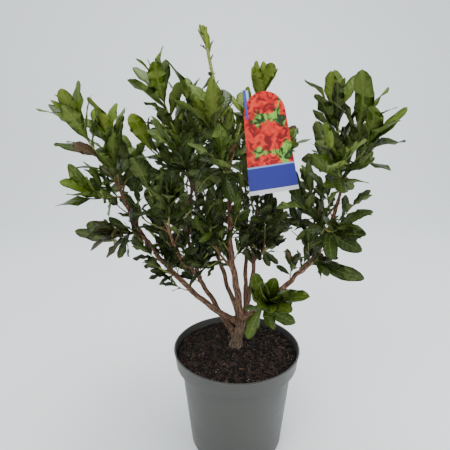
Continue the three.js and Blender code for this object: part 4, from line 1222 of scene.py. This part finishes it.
# Buds: each shoot ends in a small pointed winter bud, sunk in its whorl.
# Its scales are green with brown edges. It is a short tube, widest just below its middle.
BUD = {"length": 7.5, "radius": 1.9, "rows": 7, "columns": 7, "sunk": 2, "line": (0, 0.33, 0.67, 1),
       "swell": 0.9, "swell_from": 0.12, "fullness": 0.8}
BUD_TONES = {0.4: "#6b5a2b", 0.6: "#8b9448"}
BUD_SPOT_MM = 1.5


def bud_scales():
    """Overlapping bud scales: green, with brown edges, slightly glossy."""
    material, tree, shader = finish_of("azalea bud scales", roughness=0.42, ior=1.45)
    where = add(tree, "ShaderNodeTexCoord").outputs["Object"]
    mottle(tree, shader, where, BUD_SPOT_MM, BUD_TONES, Detail=3.0)
    return material


bud_shares = np.linspace(0, 1, BUD["rows"])
bud_turns = math.pi * np.clip(bud_shares * BUD["swell"] + BUD["swell_from"], 0, 1)
bud_girth = BUD["radius"] * np.sin(bud_turns) ** BUD["fullness"]
bud_points = []
for route, _, _ in stems:
    way = frame_at(route, 1.0)[0]
    line = np.array([route[3] - way * BUD["sunk"] + way * BUD["length"] * share for share in BUD["line"]])
    bud_points.append(limb(line, bud_girth[:, None] + np.zeros(BUD["columns"]), bud_shares, BUD["columns"]))
bud_faces, _ = tube_faces(len(bud_points), np.linspace(0, 1, BUD["rows"] + 2), BUD["columns"])
make_piece("buds", np.concatenate(bud_points) * MM, bud_faces, bud_scales(), replaced=MASSES)

# Label: a printed card of stiff plastic film, tapered with a round head and a little bowed.
# Its printed picture is a plain pattern of round blooms over a bare panel.
CARD = {"thick": 0.7, "rows_side": 18, "rows_head": 16, "bow": 1.4, "edge": 40}
CARD_FRONT = np.array([-1, -0.6, -0.2, 0.2, 0.6, 1])
PRINT = {"panel": 40, "line": 2.2, "foot": 6, "bloom_mm": 40, "petal_mm": 13, "ruffle_mm": 14,
         "ruffles_per_mm": 0.22, "bloom_edge": (0.5, 0.53)}
PRINT_TONES = {"panel": "#2b2f96", "line": "#7fabe6", "foot": "#e9e9ee", "back": "#e6e6ea"}
BLOOM_TONES = {0.4: "#800a12", 0.5: "#df1d13", 0.68: "#f64a30"}
GROUND_TONES = {0.42: "#173a14", 0.6: "#8fc848"}
shoulder = LABEL["height"] - LABEL["head_width"] * LABEL["head_share"]


def card_half_width(height):
    """Half the card's width: a straight taper, and then a half ellipse for its head."""
    head = LABEL["head_width"] / 2
    up = np.clip((height - shoulder) / (LABEL["height"] - shoulder), 0, 1)
    straight = mix(LABEL["width"] / 2, head, np.clip(height / shoulder, 0, 1))
    return np.where(height <= shoulder, straight, head * np.sqrt(1 - up ** 2))


def printed_film():
    """Printed plastic film, smooth with a slight gloss: red blooms on a green ground over a bare blue panel.

    It reads each corner's place on the card in mm, and whether it is on the front. A bloom is one cell of a
    Voronoi pattern, ruffled by noise.
    """
    material, tree, shader = finish_of("printed plastic film", roughness=0.28, ior=1.5)
    place = add(tree, "ShaderNodeAttribute", {"attribute_name": "print"}).outputs["Vector"]
    split = add(tree, "ShaderNodeSeparateXYZ", inputs={"Vector": place})
    flat = add(tree, "ShaderNodeVectorMath", {"operation": "MULTIPLY"}, {
        0: place, 1: (1, 1, 0)}).outputs["Vector"]
    ruffle = add(tree, "ShaderNodeTexNoise", inputs={
        "Vector": flat, "Scale": PRINT["ruffles_per_mm"], "Detail": 4.0}).outputs["Color"]
    pushed = add(tree, "ShaderNodeVectorMath", {"operation": "MULTIPLY_ADD"}, {
        0: ruffle, 1: (PRINT["ruffle_mm"], PRINT["ruffle_mm"], 0), 2: flat}).outputs["Vector"]
    blooms = add(tree, "ShaderNodeTexVoronoi", {"voronoi_dimensions": "2D"}, {
        "Vector": pushed, "Scale": 1 / PRINT["bloom_mm"], "Randomness": 0.5})
    petals = add(tree, "ShaderNodeTexNoise", inputs={
        "Vector": flat, "Scale": 1 / PRINT["petal_mm"], "Detail": 2.0, "Distortion": 1.6})
    red, green = (
        add(tree, "ShaderNodeValToRGB", inputs={"Fac": petals.outputs["Fac"]}, stops=tones).outputs["Color"]
        for tones in (BLOOM_TONES, GROUND_TONES))
    outside = add(tree, "ShaderNodeMapRange", inputs={
        "Value": blooms.outputs["Distance"], "From Min": PRINT["bloom_edge"][0],
        "From Max": PRINT["bloom_edge"][1]}).outputs["Result"]
    shown = add(tree, "ShaderNodeMix", {"data_type": "RGBA"}, {
        FACTOR: outside, FIRST: red, SECOND: green}).outputs[BLENDED]
    bands = (("line", PRINT["panel"]), ("panel", PRINT["panel"] - PRINT["line"]), ("foot", PRINT["foot"]))
    for name, top in bands:
        under = add(tree, "ShaderNodeMath", {"operation": "LESS_THAN"}, {
            0: split.outputs["Y"], 1: top}).outputs[0]
        shown = add(tree, "ShaderNodeMix", {"data_type": "RGBA"}, {
            FACTOR: under, FIRST: shown, SECOND: tone(PRINT_TONES[name])}).outputs[BLENDED]
    front = add(tree, "ShaderNodeMath", {"operation": "GREATER_THAN"}, {
        0: split.outputs["Z"], 1: 0.5}).outputs[0]
    sides = add(tree, "ShaderNodeMix", {"data_type": "RGBA"}, {
        FACTOR: front, FIRST: tone(PRINT_TONES["back"]), SECOND: shown})
    tree.links.new(sides.outputs[BLENDED], shader.inputs["Base Color"])
    return material


head_turn = np.linspace(0, math.pi / 2, CARD["rows_head"] + 1)[1:-1]
card_rows = np.concatenate([np.linspace(0, shoulder, CARD["rows_side"]),
                            shoulder + (LABEL["height"] - shoulder) * np.sin(head_turn)])
card_across = np.concatenate([CARD_FRONT, CARD_FRONT[::-1]])
card_is_front = np.repeat([1.0, 0.0], len(CARD_FRONT))
card_x = card_across * card_half_width(card_rows)[:, None]
card_z = card_rows[:, None] + 0 * card_x
card_bow = CARD["bow"] * (card_x / LABEL["width"] * 2) ** 2 - CARD["bow"]
card_y = CARD["thick"] * (0.5 - card_is_front) + card_bow
card_flat = np.stack([card_x, card_y, card_z], 2).reshape(-1, 3)
card_flat = np.concatenate([card_flat, [[0, -CARD["bow"], 0], [0, -CARD["bow"], LABEL["height"]]]])
card_sides = np.append(np.tile(card_is_front, len(card_rows)), [0, 0])
card_print = np.stack([card_flat[:, 0], card_flat[:, 2], card_sides], 1)
card_axes = np.stack([label_right, [0, 1, 0], label_up])
card_faces, _ = tube_faces(1, np.linspace(0, 1, len(card_rows) + 2), len(card_across))
make_piece("label_card", (label_foot + card_flat @ card_axes) * MM, card_faces, printed_film(),
           replaced=["label"], values={"print": card_print}, sharp=CARD["edge"])

# Strap: a ribbon of the same film, that holds the card on its shoot.
# It runs from behind the card's head round the shoot and back. Its folded end stands before the card's left
# edge.
RIBBON = {"thick": 0.5, "rows": 60, "inset": 2, "bend_rows": 20, "end_rows": 14, "end_up": 10,
          "end_height": 38, "end_turn": math.radians(24), "edge": 0.55}
RIBBON_TONES = {"middle": "#3238a4", "edge": "#9fc1ea"}


def ribbon(path, normal, wide, width, thick):
    """A flat band along a path, thick along `normal` and wide along `wide`: its rings, then its end poles."""
    corners = ((-1, -1), (1, -1), (1, 1), (-1, 1))
    rings = np.stack([path + normal * thick / 2 * n + wide * width / 2 * w for n, w in corners], 1)
    return np.concatenate([rings.reshape(-1, 3), path[[0, -1]]])


def film_ribbon():
    """Plastic film printed blue, with a pale edge and the card's slight gloss."""
    material, tree, shader = finish_of("blue plastic film", roughness=0.3, ior=1.5)
    across = add(tree, "ShaderNodeAttribute", {"attribute_name": "print"}).outputs["Fac"]
    edge = add(tree, "ShaderNodeMath", {"operation": "GREATER_THAN"}, {
        0: across, 1: RIBBON["edge"]}).outputs[0]
    shade = add(tree, "ShaderNodeMix", {"data_type": "RGBA"}, {
        FACTOR: edge, FIRST: tone(RIBBON_TONES["middle"]), SECOND: tone(RIBBON_TONES["edge"])})
    tree.links.new(shade.outputs[BLENDED], shader.inputs["Base Color"])
    return material


head = label_foot + label_up * (hold_place[2] - label_foot[2]) / label_up[2]
loop_radius = mix(*hold_radii, STRAP["share"]) + GAP + STRAP["clear"] + RIBBON["thick"] / 2
loop_centre = hold_place[:2] - [0, STRAP["clear"]]
card_back = head[1] + CARD["thick"] / 2
bend = np.linspace(0, math.pi, RIBBON["bend_rows"])
arc = loop_centre + loop_radius * np.stack([np.cos(bend), np.sin(bend)], 1)
to_side = STRAP["left"] - RIBBON["inset"]
line = np.concatenate([[[head[0] + to_side, card_back]], arc, [[head[0] - to_side, card_back]]])
travel = np.concatenate([[0], np.cumsum(np.linalg.norm(np.diff(line, axis=0), axis=1))])
even = np.linspace(0, travel[-1], RIBBON["rows"])
loop = np.stack([np.interp(even, travel, line[:, 0]), np.interp(even, travel, line[:, 1]),
                 np.full(RIBBON["rows"], hold_place[2])], 1)
loop_way = unit(np.gradient(loop, axis=0))
up = np.array([0, 0, 1.0])
loop_rings = ribbon(loop, np.cross(loop_way, up), up, STRAP["width"], RIBBON["thick"])
end_share = np.linspace(-0.5, 0.5, RIBBON["end_rows"])
end_middle = np.array([head[0] - STRAP["left"], head[1] - CARD["thick"], hold_place[2] + RIBBON["end_up"]])
end_path = end_middle + label_up * (end_share * RIBBON["end_height"])[:, None]
end_wide = np.array([math.cos(RIBBON["end_turn"]), math.sin(RIBBON["end_turn"]), 0])
end_rings = ribbon(end_path, np.cross(end_wide, up), end_wide, STRAP["width"], RIBBON["thick"])
film = film_ribbon()
for name, rings, rows in (("strap_loop", loop_rings, RIBBON["rows"]),
                          ("strap_end", end_rings, RIBBON["end_rows"])):
    ribbon_faces, _ = tube_faces(1, np.linspace(0, 1, rows + 2), 4)
    across = np.append(np.tile([0.0, 0.0, 1.0, 1.0], rows), [0.5, 0.5])
    make_piece(name, rings * MM, ribbon_faces, film, replaced=["label"], values={"print": across},
               sharp=CARD["edge"])
